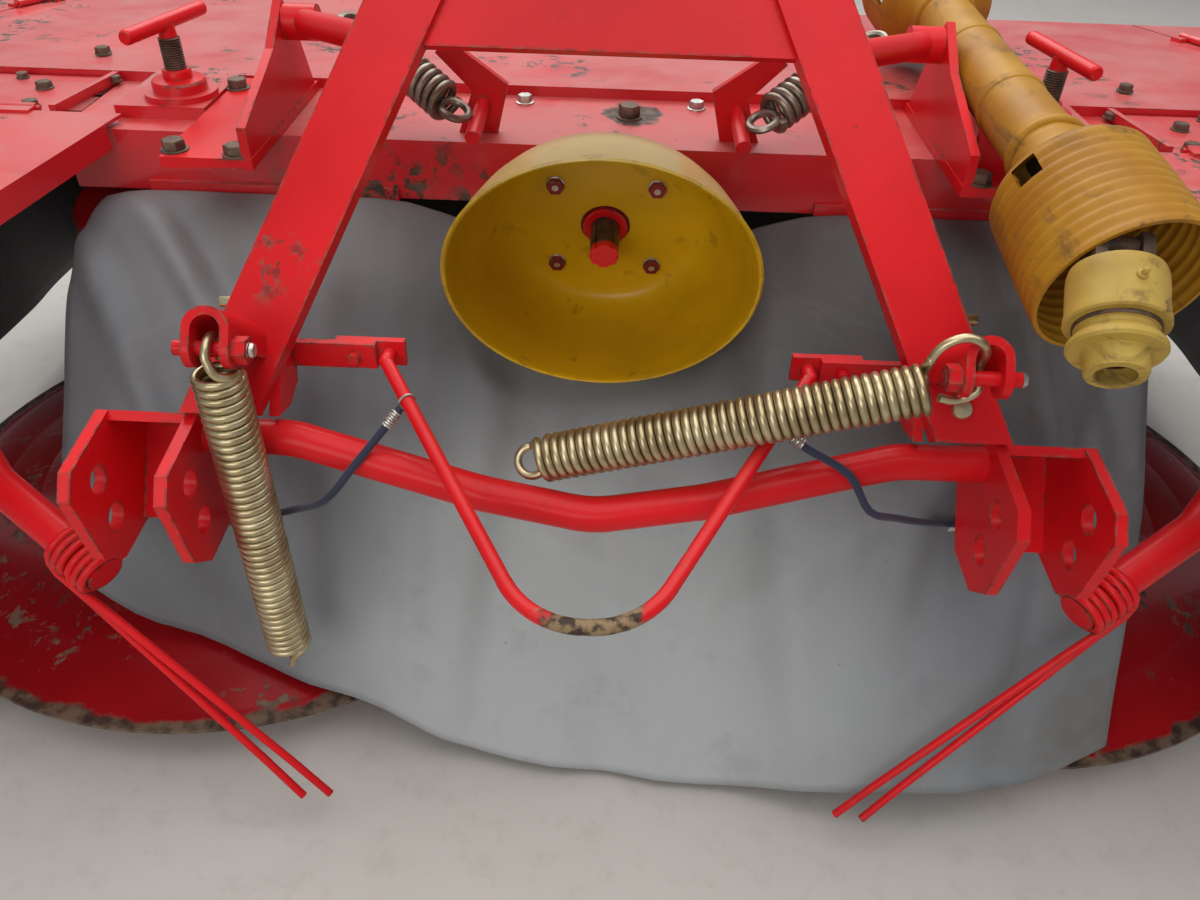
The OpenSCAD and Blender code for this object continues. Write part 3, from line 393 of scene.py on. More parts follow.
# the curtain has painted light low in the middle, painted shade at its upper right and a little painted
# light at its upper left
CLOTH = coated_cloth("grey_tarp", (0.185, 0.20, 0.215), (0.135, 0.145, 0.155), (0.13, 0.095, 0.055),
                     stain_box=(0.35, 0.62, 0.05, 0.30),
                     painted_light_areas=(((0.02, -0.47, 0.10), 0.52, (0.40, 0.42, 0.42), 1.0),
                            ((0.34, -0.16, 0.52), 0.34, (0.055, 0.048, 0.045), 0.75),
                            ((-0.40, -0.14, 0.58), 0.22, (0.26, 0.25, 0.245), 0.6)))
SKIRT = coated_cloth("dark_curtain", (0.030, 0.030, 0.034), (0.016, 0.016, 0.018), (0.09, 0.07, 0.05),
                     rough=0.5)
CORD = coated_cloth("blue_cord", (0.018, 0.022, 0.060), (0.010, 0.012, 0.032), (0.05, 0.04, 0.04),
                    weave=300.0, rough=0.6)
WHITE = metal("white_clip", (0.66, 0.64, 0.60), (0.50, 0.47, 0.43), rusty=0.74, rough=(0.4, 0.6),
              metallic=0.0)


def input_shaft_steel():
    """Oily brown splines with a red painted end."""
    m = Nodes("input_shaft_steel")
    tip = Vector(FACE @ Vector((0, 0, 59))) / 1000
    away = m.away(tuple(tip))
    end = m.minus(1.0, m.ramp(m.plus(away, m.times(m.noise(120.0, 3), 0.004)), 0.0195, 0.0225))
    brown = m.mix(m.ramp(m.noise(60.0, 6), 0.35, 0.65), (0.022, 0.013, 0.009), (0.075, 0.04, 0.025))
    m.set("Base Color", m.mix(end, brown, (0.72, 0.012, 0.016)))
    m.set("Roughness", m.plus(0.3, m.times(m.noise(40.0, 4), 0.3)))
    m.bump(m.noise(160.0, 4), 0.2, 0.0005)
    return m.mat


def give(node, material):
    """A CAD node keeps its shape and takes a material."""
    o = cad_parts[node]
    if not o.material_slots:
        o.data.materials.append(material)
    for s in o.material_slots:
        s.material = material


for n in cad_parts:
    give(n, RED)
for n in ("front_cover", "side_covers", "left_rear_flap", "right_rear_flap", "left_front_flap",
          "right_front_flap", "main_beam", "drum_seats"):
    give(n, DECK)
# painted shade: the gearbox, the cover frame and the drum columns under the covers take the darker copy of
# the red paint
for n in ("centre_gearbox", "cover_frame", "drum_columns"):
    give(n, SHADED_RED)
for n in ("left_drum", "right_drum"):
    give(n, ROTOR)
for n in ("skid_dishes", "left_knives", "right_knives"):
    give(n, STEEL)
give("input_shaft", input_shaft_steel())
give("shaft_guard", PLASTIC)
give("drive_bow", BOW_RED)
give("curtain_clips", WHITE)


# mesh tools, in millimetres
class Maker:
    """Collects lathes, tubes, prisms and bolts into one mesh."""

    def __init__(self):
        self.bm = bmesh.new()

    def skin(self, rings, closed_ring=True, closed_path=False, caps=True, index=0):
        """Skins a list of point rings."""
        vs = [[self.bm.verts.new(p) for p in ring] for ring in rings]
        n = len(vs[0])
        pairs = list(zip(vs, vs[1:])) + ([(vs[-1], vs[0])] if closed_path else [])
        made = []
        for a, b in pairs:
            for i in range(n if closed_ring else n - 1):
                j = (i + 1) % n
                made.append(self.bm.faces.new((a[i], a[j], b[j], b[i])))
        if caps and closed_ring and not closed_path:
            made.append(self.bm.faces.new(list(reversed(vs[0]))))
            made.append(self.bm.faces.new(vs[-1]))
        for f in made:
            f.material_index = index
        return made

    def lathe(self, m, profile, seg=48, index=0):
        """A solid turned from [r, z] pairs about the matrix's Z."""
        rings = [[m @ around(max(r, 0.01), a, z) for r, z in profile] for a in turns(seg)]
        self.skin(rings, closed_ring=False, closed_path=True, caps=False, index=index)
        for k in (0, -1):
            if profile[k][0] > 0.5:
                ring = [r[k] for r in rings]
                self.bm.faces.new([self.bm.verts.new(p) for p in ring]).material_index = index

    def tube(self, points, radius, sides=10, closed=False, index=0):
        """A round tube along points, with frames carried along without twisting."""
        pts = [Vector(p) for p in points]
        n = len(pts)
        tan = []
        for i in range(n):
            a = pts[(i - 1) % n] if closed or i else pts[0]
            b = pts[(i + 1) % n] if closed or i < n - 1 else pts[-1]
            tan.append((b - a).normalized())
        normal = tan[0].orthogonal().normalized()
        rings = []
        for i in range(n):
            if i:
                q = tan[i - 1].rotation_difference(tan[i])
                normal = (q @ normal).normalized()
            side = tan[i].cross(normal).normalized()
            rings.append([pts[i] + radius * between(normal, side, t) for t in turns(sides)])
        self.skin(rings, closed_path=closed, caps=not closed, index=index)

    def prism(self, m, outline, h, index=0):
        """An outline of [x, y] pairs in the matrix's plane, h thick along its Z."""
        low = [m @ Vector((x, y, 0)) for x, y in outline]
        high = [m @ Vector((x, y, h)) for x, y in outline]
        self.skin([low, high], index=index)

    def hexagon(self, m, across, h, z0, corner):
        """A bolt head's six sides, with its corners a little turned off."""
        r = across / math.sqrt(3)
        rings = []
        for s, z in ((0.93, 0.0), (1.0, 0.08 * h), (1.0, 0.82 * h), (0.9, h)):
            rings.append([m @ around(s * r, corner + k * math.pi / 3, z0 + z) for k in range(6)])
        self.skin(rings)

    def bolt(self, m, across=17.0, h=7.0, washer=0.0):
        """A bolt head standing on the matrix's plane, turned at random."""
        corner = random.random()
        z = 0.0
        if washer:
            self.lathe(m, [(0, 0), (washer, 0), (washer, 1.6), (washer - 1, 2.2), (0, 2.2)], 20)
            z = 2.0
        self.hexagon(m, across, h, z, corner)

    def done(self, name, materials, body="chassis", replaces=(), slot=None, smooth=38):
        """Turns the collected faces into one object in metres that rides a body."""
        self.bm.normal_update()
        bmesh.ops.remove_doubles(self.bm, verts=self.bm.verts, dist=0.0005)
        bmesh.ops.recalc_face_normals(self.bm, faces=self.bm.faces)
        bmesh.ops.scale(self.bm, vec=(0.001,) * 3, verts=self.bm.verts)
        me = bpy.data.meshes.new(name)
        self.bm.to_mesh(me)
        self.bm.free()
        for mt in materials if isinstance(materials, (list, tuple)) else [materials]:
            me.materials.append(mt)
        me.shade_smooth()
        me.set_sharp_from_angle(angle=R(smooth))
        o = added(name, me)
        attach(o, body)
        if replaces:
            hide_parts(*replaces)
        return o


def rounded(points, radius, steps=8):
    """The corner points of a bar, with each corner rounded."""
    p = [Vector(q) for q in points]
    out = [p[0]]
    for i in range(1, len(p) - 1):
        a, b = (p[i - 1] - p[i]).normalized(), (p[i + 1] - p[i]).normalized()
        angle = math.pi - a.angle(b)
        if angle < 1e-3:
            out.append(p[i])
            continue
        trim = radius * math.tan(angle / 2)
        c = p[i] + (a + b).normalized() * radius / math.cos(angle / 2)
        s, e = p[i] + a * trim - c, p[i] + b * trim - c
        for k in range(steps + 1):
            t = k / steps
            out.append(c + (s * math.sin((1 - t) * angle) + e * math.sin(t * angle)) / math.sin(angle))
    return out + [p[-1]]


def spline(points, per=8):
    """A smooth line through points."""
    p = [Vector(q) for q in points]
    p = [2 * p[0] - p[1]] + p + [2 * p[-1] - p[-2]]
    out = []
    for i in range(1, len(p) - 2):
        for k in range(per):
            t = k / per
            out.append(0.5 * ((2 * p[i]) + (p[i + 1] - p[i - 1]) * t
                              + (2 * p[i - 1] - 5 * p[i] + 4 * p[i + 1] - p[i + 2]) * t * t
                              + (3 * p[i] - p[i - 1] - 3 * p[i + 1] + p[i + 2]) * t ** 3))
    return out + [p[-2]]


# the yellow shield's form: shares of its depth with the radius there, and the middles of its two ends
BOWL = [(0.0, 104), (0.03, 118), (0.08, 129), (0.16, 139), (0.3, 149), (0.5, 157), (0.75, 163), (1.0, 166)]
BOWL_BACK, BOWL_RIM = Vector(FACE_AT), Vector((0, -283 + AXLE_Y, 582))
# how much further its rim leans than its back, in degrees, its wall, what the curtain keeps clear of it,
# and how far its bolts lie out from the middle on each axis
BOWL_TURN, BOWL_WALL, BOWL_CLEAR = 3.4, 3.0, 6
BOLT_OUT = 59.75


def bowl_radius(t):
    """The shield's outer radius at a share t of its depth."""
    t = min(max(t, 0.0), 1.0)
    for (a, ra), (b, rb) in zip(BOWL, BOWL[1:]):
        if t <= b:
            return ra + (rb - ra) * (t - a) / (b - a)


def bowl_place(t):
    """Centre, outward way and upward way of the shield's section at a share t of its depth."""
    a = R(90 + INPUT_TILT + BOWL_TURN * t)
    way, up = Vector((0, -math.sin(a), math.cos(a))), Vector((0, math.cos(a), math.sin(a)))
    return BOWL_BACK.lerp(BOWL_RIM, t), way, up


def clear_of_shield(p):
    """Pushes a point of the curtain out of the yellow shield."""
    t = 0.3
    for _ in range(6):
        c, way = bowl_place(t)[:2]
        t += (p - c).dot(way) / (BOWL_RIM - BOWL_BACK).dot(way)
    if not 0 < t < 1.08:
        return p
    out = p - c
    need = bowl_radius(t) + BOWL_CLEAR
    return p if out.length > need else p + out.normalized() * (need - out.length)


# the grey rear curtain in columns: x and height of its top, y and height of its middle control point,
# and x, y and height of its hem
TARP_TOP_Y = -92
TARP = [
    (-604, 574, -215, 560, -648, -361, 200), (-562, 584, -250, 585, -578, -369, 130),
    (-440, 584, -250, 585, -505, -372, 115), (-330, 584, -250, 565, -315, -432, 86),
    (-240, 584, -240, 540, -241, -462, 79), (-130, 545, -230, 425, -176, -468, 40),
    (-60, 438, -220, 405, -95, -478, 20), (60, 438, -220, 405, 60, -490, 12),
    (130, 545, -230, 425, 151, -497, 12), (240, 584, -240, 540, 247, -525, 45),
    (330, 584, -250, 565, 337, -547, 80), (440, 584, -260, 585, 490, -534, 85),
    (562, 584, -260, 585, 573, -500, 86), (632, 580, -240, 580, 628, -470, 87),
]


def tarp_at(c, t):
    """The point of a column at a share t of its drop."""
    top = Vector((c[0], TARP_TOP_Y, c[1]))
    middle = Vector(((c[0] + c[4]) / 2, c[2], c[3]))
    hem = Vector(c[4:])
    return PLACE @ ((1 - t) ** 2 * top + 2 * t * (1 - t) * middle + t * t * hem)


def tarp_mix(s, t):
    """The curtain at a share s of its width and t of its drop, straight between its columns."""
    k = min(int(s * (len(TARP) - 1)), len(TARP) - 2)
    w = s * (len(TARP) - 1) - k
    return tarp_at([(1 - w) * a + w * b for a, b in zip(TARP[k], TARP[k + 1])], t)


def cord_piece(name, points, diameter, material):
    """A curve of one open spline with a round section."""
    cu = bpy.data.curves.new(name, "CURVE")
    cu.dimensions = "3D"
    cu.bevel_depth = diameter / 2 / 1000
    cu.bevel_resolution = 5
    cu.use_fill_caps = True
    s = cu.splines.new("POLY")
    s.points.add(len(points) - 1)
    for p, q in zip(s.points, points):
        p.co = (*(Vector(q) / 1000), 1)
    cu.materials.append(material)
    o = added(name, cu)
    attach(o, "chassis")
    return o


# tie cords, on the source's own routes: points on the headstock, the clip as two columns, a share and a
# drop, the wire loop's place on the bow, and the bow's side
CORDS = {
    "left": ([(-190, 17, 33), (-206, 13.5, 10), (-232, 15, -24), (-262, 24, -60)], (2, 3, 0.35, 0.8),
             (-184.3, 18.4, 40.5), 1),
    "right": ([(182.3, 11, 24.8), (205, 11.5, 9), (248, 15, -15), (272, 26, -50)], (10, 11, 0.55, 0.68),
              (176, 10.8, 29.1), -1),
}
CORD_D = 8


def clip_end(row):
    """Where a cord meets its clip, and the way out of the curtain there."""
    a, b, share, drop = row
    mixed = [(1 - share) * p + share * q for p, q in zip(TARP[a], TARP[b])]
    across = (tarp_at(TARP[b], drop) - tarp_at(TARP[a], drop)).normalized()
    out = (tarp_at(mixed, drop + 0.03) - tarp_at(mixed, drop - 0.03)).cross(across).normalized()
    return tarp_at(mixed, drop) + 4.3 * out - 6 * across, out


def length_of(points):
    """The length of a line through points."""
    return sum((Vector(b) - Vector(a)).length for a, b in zip(points, points[1:]))


def tie_cords():
    """Two cords from the bow's links to the curtain's clips, each with a wound wire at its top."""
    for side, (local, row, loop, sign) in CORDS.items():
        end, out = clip_end(row)
        high = [HEAD @ Vector(p) for p in local]
        way = high[-1] - end
        low = [end + t * way - Vector((0, 0, 20 * t * (1 - t))) for t in (0.7, 0.4, 0.15)]
        route = [*high, *low, end + 12 * out + 4 * way.normalized(), end]
        line = spline([route[0]] + route + [route[-1]], 4)[4:-4]
        o = cord_piece("tie_cord_" + side, line, CORD_D, CORD)
        along = (line[5] - line[0]).normalized()
        u = along.orthogonal().normalized()
        v = along.cross(u)
        k = Maker()
        # a wire wound round the cord's top, and its loop round the bow's arm
        k.tube([line[0] + along * (5 + 2.6 * i / 12) + 5.2 * between(u, v, 2 * math.pi * i / 12)
                for i in range(85)], 1.3, 6)
        arm = Vector((sign * 163, -261.2, -85.9)).normalized()
        u = arm.orthogonal().normalized()
        v = arm.cross(u)
        k.tube([HEAD @ Vector(loop) + 8.4 * between(u, v, t) for t in turns(24)], 1.2, 6, closed=True)
        wrap = k.done("tie_ferrule_" + side, ZINC)
        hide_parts("tie_cords")
        length_of(line) / 1000


tie_cords()


def grid_piece(name, grid, material, body, replaces, thickness, side):
    """A sheet from a grid of points, given its thickness."""
    me = bpy.data.meshes.new(name)
    rows, cols = len(grid), len(grid[0])
    verts = [tuple(p / 1000) for row in grid for p in row]
    faces = [(i * cols + j, i * cols + j + 1, (i + 1) * cols + j + 1, (i + 1) * cols + j)
             for i in range(rows - 1) for j in range(cols - 1)]
    me.from_pydata(verts, [], faces)
    me.materials.append(material)
    me.shade_smooth()
    o = added(name, me)
    s = o.modifiers.new("Solid", "SOLIDIFY")
    s.thickness = thickness / 1000
    s.offset = side
    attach(o, body)
    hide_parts(*replaces)
    return o


def grid_of(cols, rows, point):
    """A grid of points from a function of the share across and the share down."""
    return [[point(i / cols, j / rows) for i in range(cols + 1)] for j in range(rows + 1)]


# long folds: x and the share of the drop at both ends, height and half width, with a drop of about
# 480 mm, and the gain and narrowing of them all
TARP_DROP = 480
FOLDS = [
    (-575, 0.02, -430, 0.50, 12, 24), (-520, 0.02, -450, 0.38, -8, 20), (-612, 0.25, -470, 0.85, 10, 28),
    (-470, 0.1, -380, 0.7, -8, 30), (-335, 0.12, -300, 0.85, 12, 40), (-130, 0.40, -175, 0.97, 9, 40),
    (10, 0.45, 30, 0.97, -7, 50), (190, 0.30, 250, 0.92, 10, 42), (330, 0.05, 370, 0.6, -9, 30),
    (430, 0.05, 545, 0.85, 14, 28), (540, 0.02, 600, 0.60, -10, 24), (500, 0.10, 350, 0.75, 10, 26),
    (580, 0.45, 470, 0.98, -10, 30), (-260, 0.55, 120, 0.75, 6, 22), (150, 0.78, 460, 0.62, 6, 20),
]
FOLD_GAIN, FOLD_NARROW = 1.5, 0.75


def folds(x, t):
    """How far the long folds push the curtain out at x and a share t of its drop."""
    total = 0.0
    for x0, t0, x1, t1, height, width in FOLDS:
        ax, ay, bx, by = x0, t0 * TARP_DROP, x1, t1 * TARP_DROP
        dx, dy = bx - ax, by - ay
        k = ((x - ax) * dx + (t * TARP_DROP - ay) * dy) / (dx * dx + dy * dy)
        c = min(max(k, 0.0), 1.0)
        away = math.hypot(x - ax - c * dx, t * TARP_DROP - ay - c * dy)
        total += (FOLD_GAIN * height * math.exp(-(away / (FOLD_NARROW * width)) ** 2)
                  * math.exp(-((abs(k - 0.5) / 0.62) ** 4)))
    return total


# shares of the width, and weights, that smooth the curtain across its columns
TARP_BLUR = ((-0.03, 0.25), (0, 0.5), (0.03, 0.25))


def tarp():
    """The hung curtain: its columns, folds and creases as one sheet."""
    cols, rows = 170, 96

    def point(s, t):
        p = tarp_mix(s, t)
        if 0 < s < 1:
            # smoothed across its columns
            p = sum((tarp_mix(min(max(s + d, 0), 1), t) * w for d, w in TARP_BLUR), Vector())
        e = tarp_mix(min(s + 0.01, 1), t) - tarp_mix(max(s - 0.01, 0), t)
        f = tarp_mix(s, min(t + 0.01, 1)) - tarp_mix(s, max(t - 0.01, 0))
        n = f.cross(e).normalized()
        if n.y > 0:
            n = -n
        x = p.x
        free = min(1.0, t * 3.0)
        # folds that fan down from the top, slack creases and a hem that waves
        fan = math.sin(x * 0.021 + 1.2 * math.sin(t * 2.2) + 0.8) * 5.0 * math.exp(-3.0 * t)
        slack = (noise.noise(Vector((x * 0.0042, t * 2.1, 3.7))) * 13.0
                 + noise.noise(Vector((x * 0.011 + t * 2.5, t * 3.4, 8.1))) * 5.5)
        ridge = -abs(noise.noise(Vector((x * 0.006 - t * 1.7, t * 2.6 + x * 0.002, 1.3)))) * 9.0
        fine = noise.noise(Vector((x * 0.03, t * 9.0, 5.5))) * 1.4
        hem = math.sin(x * 0.013 + 0.5) * 5.0 * max(0.0, t - 0.75) * 4
        out = fan + slack + ridge + fine + hem + 3.0 + folds(x, t)
        return clear_of_shield(p + n * free * out)

    grid = grid_of(cols, rows, point)
    o = grid_piece("rear_tarp", grid, CLOTH, "chassis", ["rear_curtain"], 2.0, -1.0)


tarp()


# skirts, in millimetres: half the covers' width, the guards' and the front cover's undersides, the hem's
# height, and the faces that the near and the front skirts hang at
COVER_HALF = 1090
GUARD_UNDER, FRONT_UNDER, SKIRT_HEM = 660.5, 632.5, 130
NEAR_FACE, FRONT_FACE = -554, 639.5


def skirt(name, node, body, a, b, top_a, top_b, low, inward):
    """A hanging skirt between two floor points, waving inwards a little towards its hem."""
    a, b, inward = Vector((*a, 0)), Vector((*b, 0)), Vector((*inward, 0)).normalized()
    long = (b - a).length

    def point(s, t):
        p = PLACE @ (a + (b - a) * s)
        z = (top_a + (top_b - top_a) * s) * (1 - t) + low * t
        wave = (1.4 + 1.2 * math.sin(s * long * 0.024 + 2.0 * len(name))
                + 1.6 * noise.noise(Vector((s * 6, t * 3, len(name))))) * t * 1.6
        return Vector((p.x, p.y, z)) + inward * max(0.3, wave + 0.8)

    grid = grid_of(max(8, int(long / 14)), 26, point)
    o = grid_piece(name, grid, SKIRT, body, [node], 1.5, 0.0)


for side, s in (("left", -1), ("right", 1)):
    edge, end = s * (COVER_HALF - 1.5), s * (COVER_HALF - 4)
    rear, corner = side + "_rear_skirt", side + "_front_skirt"
    skirt(side + "_side_skirt", rear, side + "_rear_guard", (edge, -555), (edge, -61),
          GUARD_UNDER, GUARD_UNDER, SKIRT_HEM, (-s, 0))
    skirt(side + "_near_skirt", rear, side + "_rear_guard", (s * 695, NEAR_FACE), (end, NEAR_FACE),
          GUARD_UNDER, GUARD_UNDER, 480, (0, 1))
    skirt(side + "_corner_side_skirt", corner, side + "_corner_guard", (edge, 37), (edge, 640),
          666.0, 633.0, SKIRT_HEM, (-s, 0))
    skirt(side + "_corner_front_skirt", corner, side + "_corner_guard", (s * 929, FRONT_FACE),
          (end, FRONT_FACE), FRONT_UNDER, FRONT_UNDER, SKIRT_HEM, (0, -1))
skirt("front_skirt", "front_curtain", "chassis", (-915, FRONT_FACE), (915, FRONT_FACE),
      FRONT_UNDER, FRONT_UNDER, SKIRT_HEM, (0, -1))


# springs
def helix(length, radius, pitch, per=20, phase=0.0):
    """The points of a coil along Z, with so many to each turn."""
    n = int(per * length / pitch)
    return [around(radius, phase + 2 * math.pi * i / per, length * i / n) for i in range(n + 1)]


# the right spring's end hook, from the shackle pin's middle: right, away from the camera, up along the leg
RIGHT_HOOK = [(-49, -6, 12), (-44, -14, 22), (-35, -20, 29), (-22, -23, 32), (-9, -21, 28), (-1, -8, 21),
              (1, 10, 13), (1, 12, -7), (-6, 14, -15), (-19, 15, -19), (-33, 13, -17)]


# the shackle pins' middles from the headstock's, on the right
SHACKLE = Vector((338, -75, 75))


def relief_springs():
    """Two close-wound springs, one hanging and one swung across, each one wire with its hooks."""
    wire, across, long = 8.5, 49, 375
    r = (across - wire) / 2
    pin = HEAD @ Vector((-SHACKLE.x, SHACKLE.y, SHACKLE.z))
    # the left one hangs from its shackle
    a = pin + Vector((0, -0.6, -19.5))
    m = frame_to(a, (0, 0, -1))
    coil = helix(long - wire, r, wire * 1.03, 22)
    coil = [p + Vector((0, 0, wire / 2)) for p in coil]
    ring_r, ring_z = 16.8, -14.2
    ring = [Vector((0, ring_r * math.cos(R(d)), ring_z - ring_r * math.sin(R(d))))
            for d in range(20, 231, 15)]
    lead = spline([ring[0], Vector((6, 19.5, -6)), Vector((14.5, 14.2, 0.5)), Vector((r, 0, wire / 2))], 5)
    end = coil[-1]
    e = math.atan2(end.y, end.x)
    tail = spline([end, around(r, e + 0.7, end.z + 2.0), around(r * 0.7, e + 1.5, end.z + 8),
                   around(r * 0.35, e + 2.2, end.z + 20), around(r * 0.3, e + 2.6, end.z + 30)], 4)
    k = Maker()
    k.tube([m @ p for p in list(reversed(ring))[:-1] + lead[:-1] + coil + tail[1:]], wire / 2, 10)
    k.done("left_relief_coil", GOLD, replaces=["left_relief_spring"], slot="zinc_steel")
    # the right one is swung across and lies on the bow
    pin = Vector((-pin.x, pin.y, pin.z))
    end = PLACE @ Vector((-41, -436, 473))
    u = (end - pin).normalized()
    m = frame_to(pin + u * 41, u, (0, 0, 1))
    k = Maker()
    hook = spline([HEAD @ (SHACKLE + Vector(p)) for p in RIGHT_HOOK], 4)
    start = m.inverted() @ hook[0]
    phase = math.atan2(start.y, start.x)
    coil = [p + Vector((0, 0, wire / 2)) for p in helix(long - wire, r, wire * 1.03, 22, phase + 0.9)]
    join = spline([m.inverted() @ hook[1], start, around(r * 0.92, phase + 0.45, 3.0), coil[0]], 5)
    e = math.atan2(coil[-1].y, coil[-1].x)
    z = coil[-1].z
    tail = [coil[-1]] + [around(r, e + 0.5, z + 2.5)]
    c = Vector((0, 0, z + 14))
    tail += [c + around(1, e + 1.0) * 15 * math.cos(R(d)) + Vector((0, 0, 15 * math.sin(R(d))))
             for d in range(-10, 231, 20)]
    hook_in = [m.inverted() @ q for q in reversed(hook[2:])]
    k.tube([m @ p for p in hook_in + join + coil[1:] + spline(tail, 2)[1:]], wire / 2, 10)
    k.done("right_relief_coil", GOLD, replaces=["right_relief_spring"], slot="zinc_steel")


relief_springs()


def balance_springs():
    """Open-wound springs from the pivot arms up to their anchors, with a ring at each end."""
    wire, across, long = 9.0, 48, 150
    r = (across - wire) / 2
    for side, s in (("left", 1), ("right", -1)):
        low, high = PLACE @ Vector((-180.4 * s, -89.8, 698.6)), PLACE @ Vector((-345 * s, 25, 785))
        m = frame_to(low, high - low, (0, 0, 1))
        k = Maker()
        coil = [p + Vector((0, 0, wire / 2)) for p in helix(long - wire, r, 10.6, 20, R(90))]
        # hook rings at both ends, on the spring's own axis
        for z0, sign in ((-8, -1), (long + 8, 1)):
            ring_r = r - wire * 0.4
            k.tube([m @ Vector((0, ring_r * math.cos(t), z0 + sign * ring_r * math.sin(t)))
                    for t in turns(28)], wire / 2, 8, closed=True)
        k.tube([m @ p for p in coil], wire / 2, 10)
        k.done(side + "_balance_coil", SPRING, replaces=["balance_springs"], slot="bare_steel")


balance_springs()


def tine_bars():
    """Bent bars, each with two spring tines whose wire is wound round the bar's end."""
    route = [(511, -479, 325), (650, -400, 380), (900, -150, 540), (925, -5, 540), (925, -5, 620)]
    tip = Vector((292, -561, 60))
    for side, s in (("left", -1), ("right", 1)):
        m = PLACE @ Matrix.Diagonal((s, 1, 1, 1))
        k = Maker()
        line = rounded(route, 70, 10)
        k.tube([m @ p for p in line], 20, 28)
        along = (line[1] - line[0]).normalized()
        u = (Vector((0, -1, 0)) - along * -along.y).normalized()
        for i in (0, 1):
            centre = line[0] + along * (14 + 30 * i)
            end = tip + i * Vector((30, -4, 0))
            v = along.cross(u)
            v = v if v.dot(end - centre) > 0 else -v
            coil = [centre + along * (10.5 - 9.3 * (48 - j) / 20)
                    + 24.6 * between(u, v, 2 * math.pi * (j - 48) / 20) for j in range(0, 49)]
            top = coil[-1]
            way = (end - top).normalized()
            leg = [top + 9 * v + 3 * way, top + 14 * v + 14 * way, top + 10 * v + 60 * way,
                   end - 60 * way, end]
            k.tube([m @ p for p in coil + leg], 4.5, 10)
        k.done(side + "_tine_bar", RED, replaces=["tine_bars"], slot="red_paint")


tine_bars()


# the yellow shield
def shield():
    """A thin bowl with a rolled lip, its bolts and the seal round the input."""
    seg = 112

    def ring(t, r, along=0.0):
        c, n, y = bowl_place(t)
        return [c + n * along + Vector((1, 0, 0)) * r * math.cos(p) + y * r * math.sin(p)
                for p in turns(seg)]

    steps = (0.015, 0.03, 0.055, 0.08, 0.12, 0.16, 0.23, 0.3, 0.4, 0.5, 0.62, 0.75, 0.86, 0.95)
    inner = [ring(0, 30, 3.4), ring(0, 84, 3.4), ring(0, 98, 3.6), ring(0, 104, 4.2)]
    inner += [ring(t, bowl_radius(t) - BOWL_WALL) for t in steps[1:]]
    lip = [ring(0.985, 162.4), ring(1.0, 163.4, 0.6), ring(1.0, 166.0, 1.6), ring(1.0, 168.0, 0.0),
           ring(0.985, 167.6), ring(0.965, 165.4)]
    outer = [ring(t, bowl_radius(t)) for t in reversed(steps)]
    outer += [ring(0, 104, 0.5), ring(0, 96, 0.4), ring(0, 30, 0.4)]
    k = Maker()
    k.skin(inner + lip[:3], caps=False)
    k.skin(lip[2:] + outer, caps=False, index=1)
    k.skin([outer[-1], inner[0]], caps=False)
    k.done("yellow_shield", [MUSTARD, MUSTARD_PALE], replaces=["gearbox_shield"], slot="mustard_paint",
           smooth=50)
    k = Maker()
    for x in (-BOLT_OUT, BOLT_OUT):
        for y in (-BOLT_OUT, BOLT_OUT):
            k.bolt(FACE @ at(x, y, 3.4), 16, 6.5, 11)
            k.lathe(FACE @ at(x, y, 12), [(0, -4), (4, -4), (4, 0.4), (0, 0.4)], 12)
    k.done("shield_bolts", ZINC, slot="zinc_steel")
    k = Maker()
    k.lathe(FACE, [(24, 8.1), (25.5, 8.6), (27.2, 8.2), (27.4, 6.4), (27.2, 5.0)], 40)
    k.done("seal_lip", RED, slot="red_paint")


shield()


# drive shaft guards and yokes
def cone(name, m):
    """A ribbed guard cone along the matrix's Z from its open end, with windows on its shoulder."""
    profile = [(78, 0), (79.2, 3), (78, 6.5)]
    for i in range(10):
        z = 9 + i * 11.6
        r = 78.2 - 0.22 * i - 0.03 * i * i
        profile += [(r - 0.9, z), (r - 0.9, z + 1.6), (r + 0.1, z + 4.4), (r + 0.5, z + 7.4),
                    (r + 0.1, z + 10.4)]
    profile += [(71, 128), (67, 134), (61, 139), (57, 140.5), (56.5, 143), (53, 147), (46, 150),
                (41.5, 154), (39.5, 161), (38.6, 172)]
    inner = [(r - 3.6, z) for r, z in profile]
    k = Maker()
    rings = [[m @ around(r, a, z) for r, z in profile + inner[::-1]] for a in turns(96)]
    faces = k.skin(rings, closed_path=True, caps=False)
    k.bm.faces.ensure_lookup_table()
    inv = m.inverted()
    gone = []
    for f in faces:
        c = inv @ f.calc_center_median()
        ang = math.degrees(math.atan2(c.y, c.x))
        if 101 < c.z < 124 and any(abs((ang - mid + 180) % 360 - 180) < 10 for mid in WINDOWS[name]):
            gone.append(f)
    bmesh.ops.delete(k.bm, geom=gone, context="FACES")
    return k


# the middle of the near cone's rim, which tips out of the shaft's line, and the middles of the cones'
# windows, in degrees
NEAR_RIM = Vector((454, -430, 678))
NEAR = frame_to(NEAR_RIM, SHAFT @ Vector((0, 0, 167)) - NEAR_RIM)
FAR = SHAFT @ at(0, 0, 790) @ turn(180, "X")
WINDOWS = {"near_cone": (212, 32), "far_cone": (79, 259)}
for name, m in (("near_cone", NEAR), ("far_cone", FAR)):
    cone(name, m).done(name, PLASTIC, replaces=["shaft_cones"], slot="yellow_plastic", smooth=60)


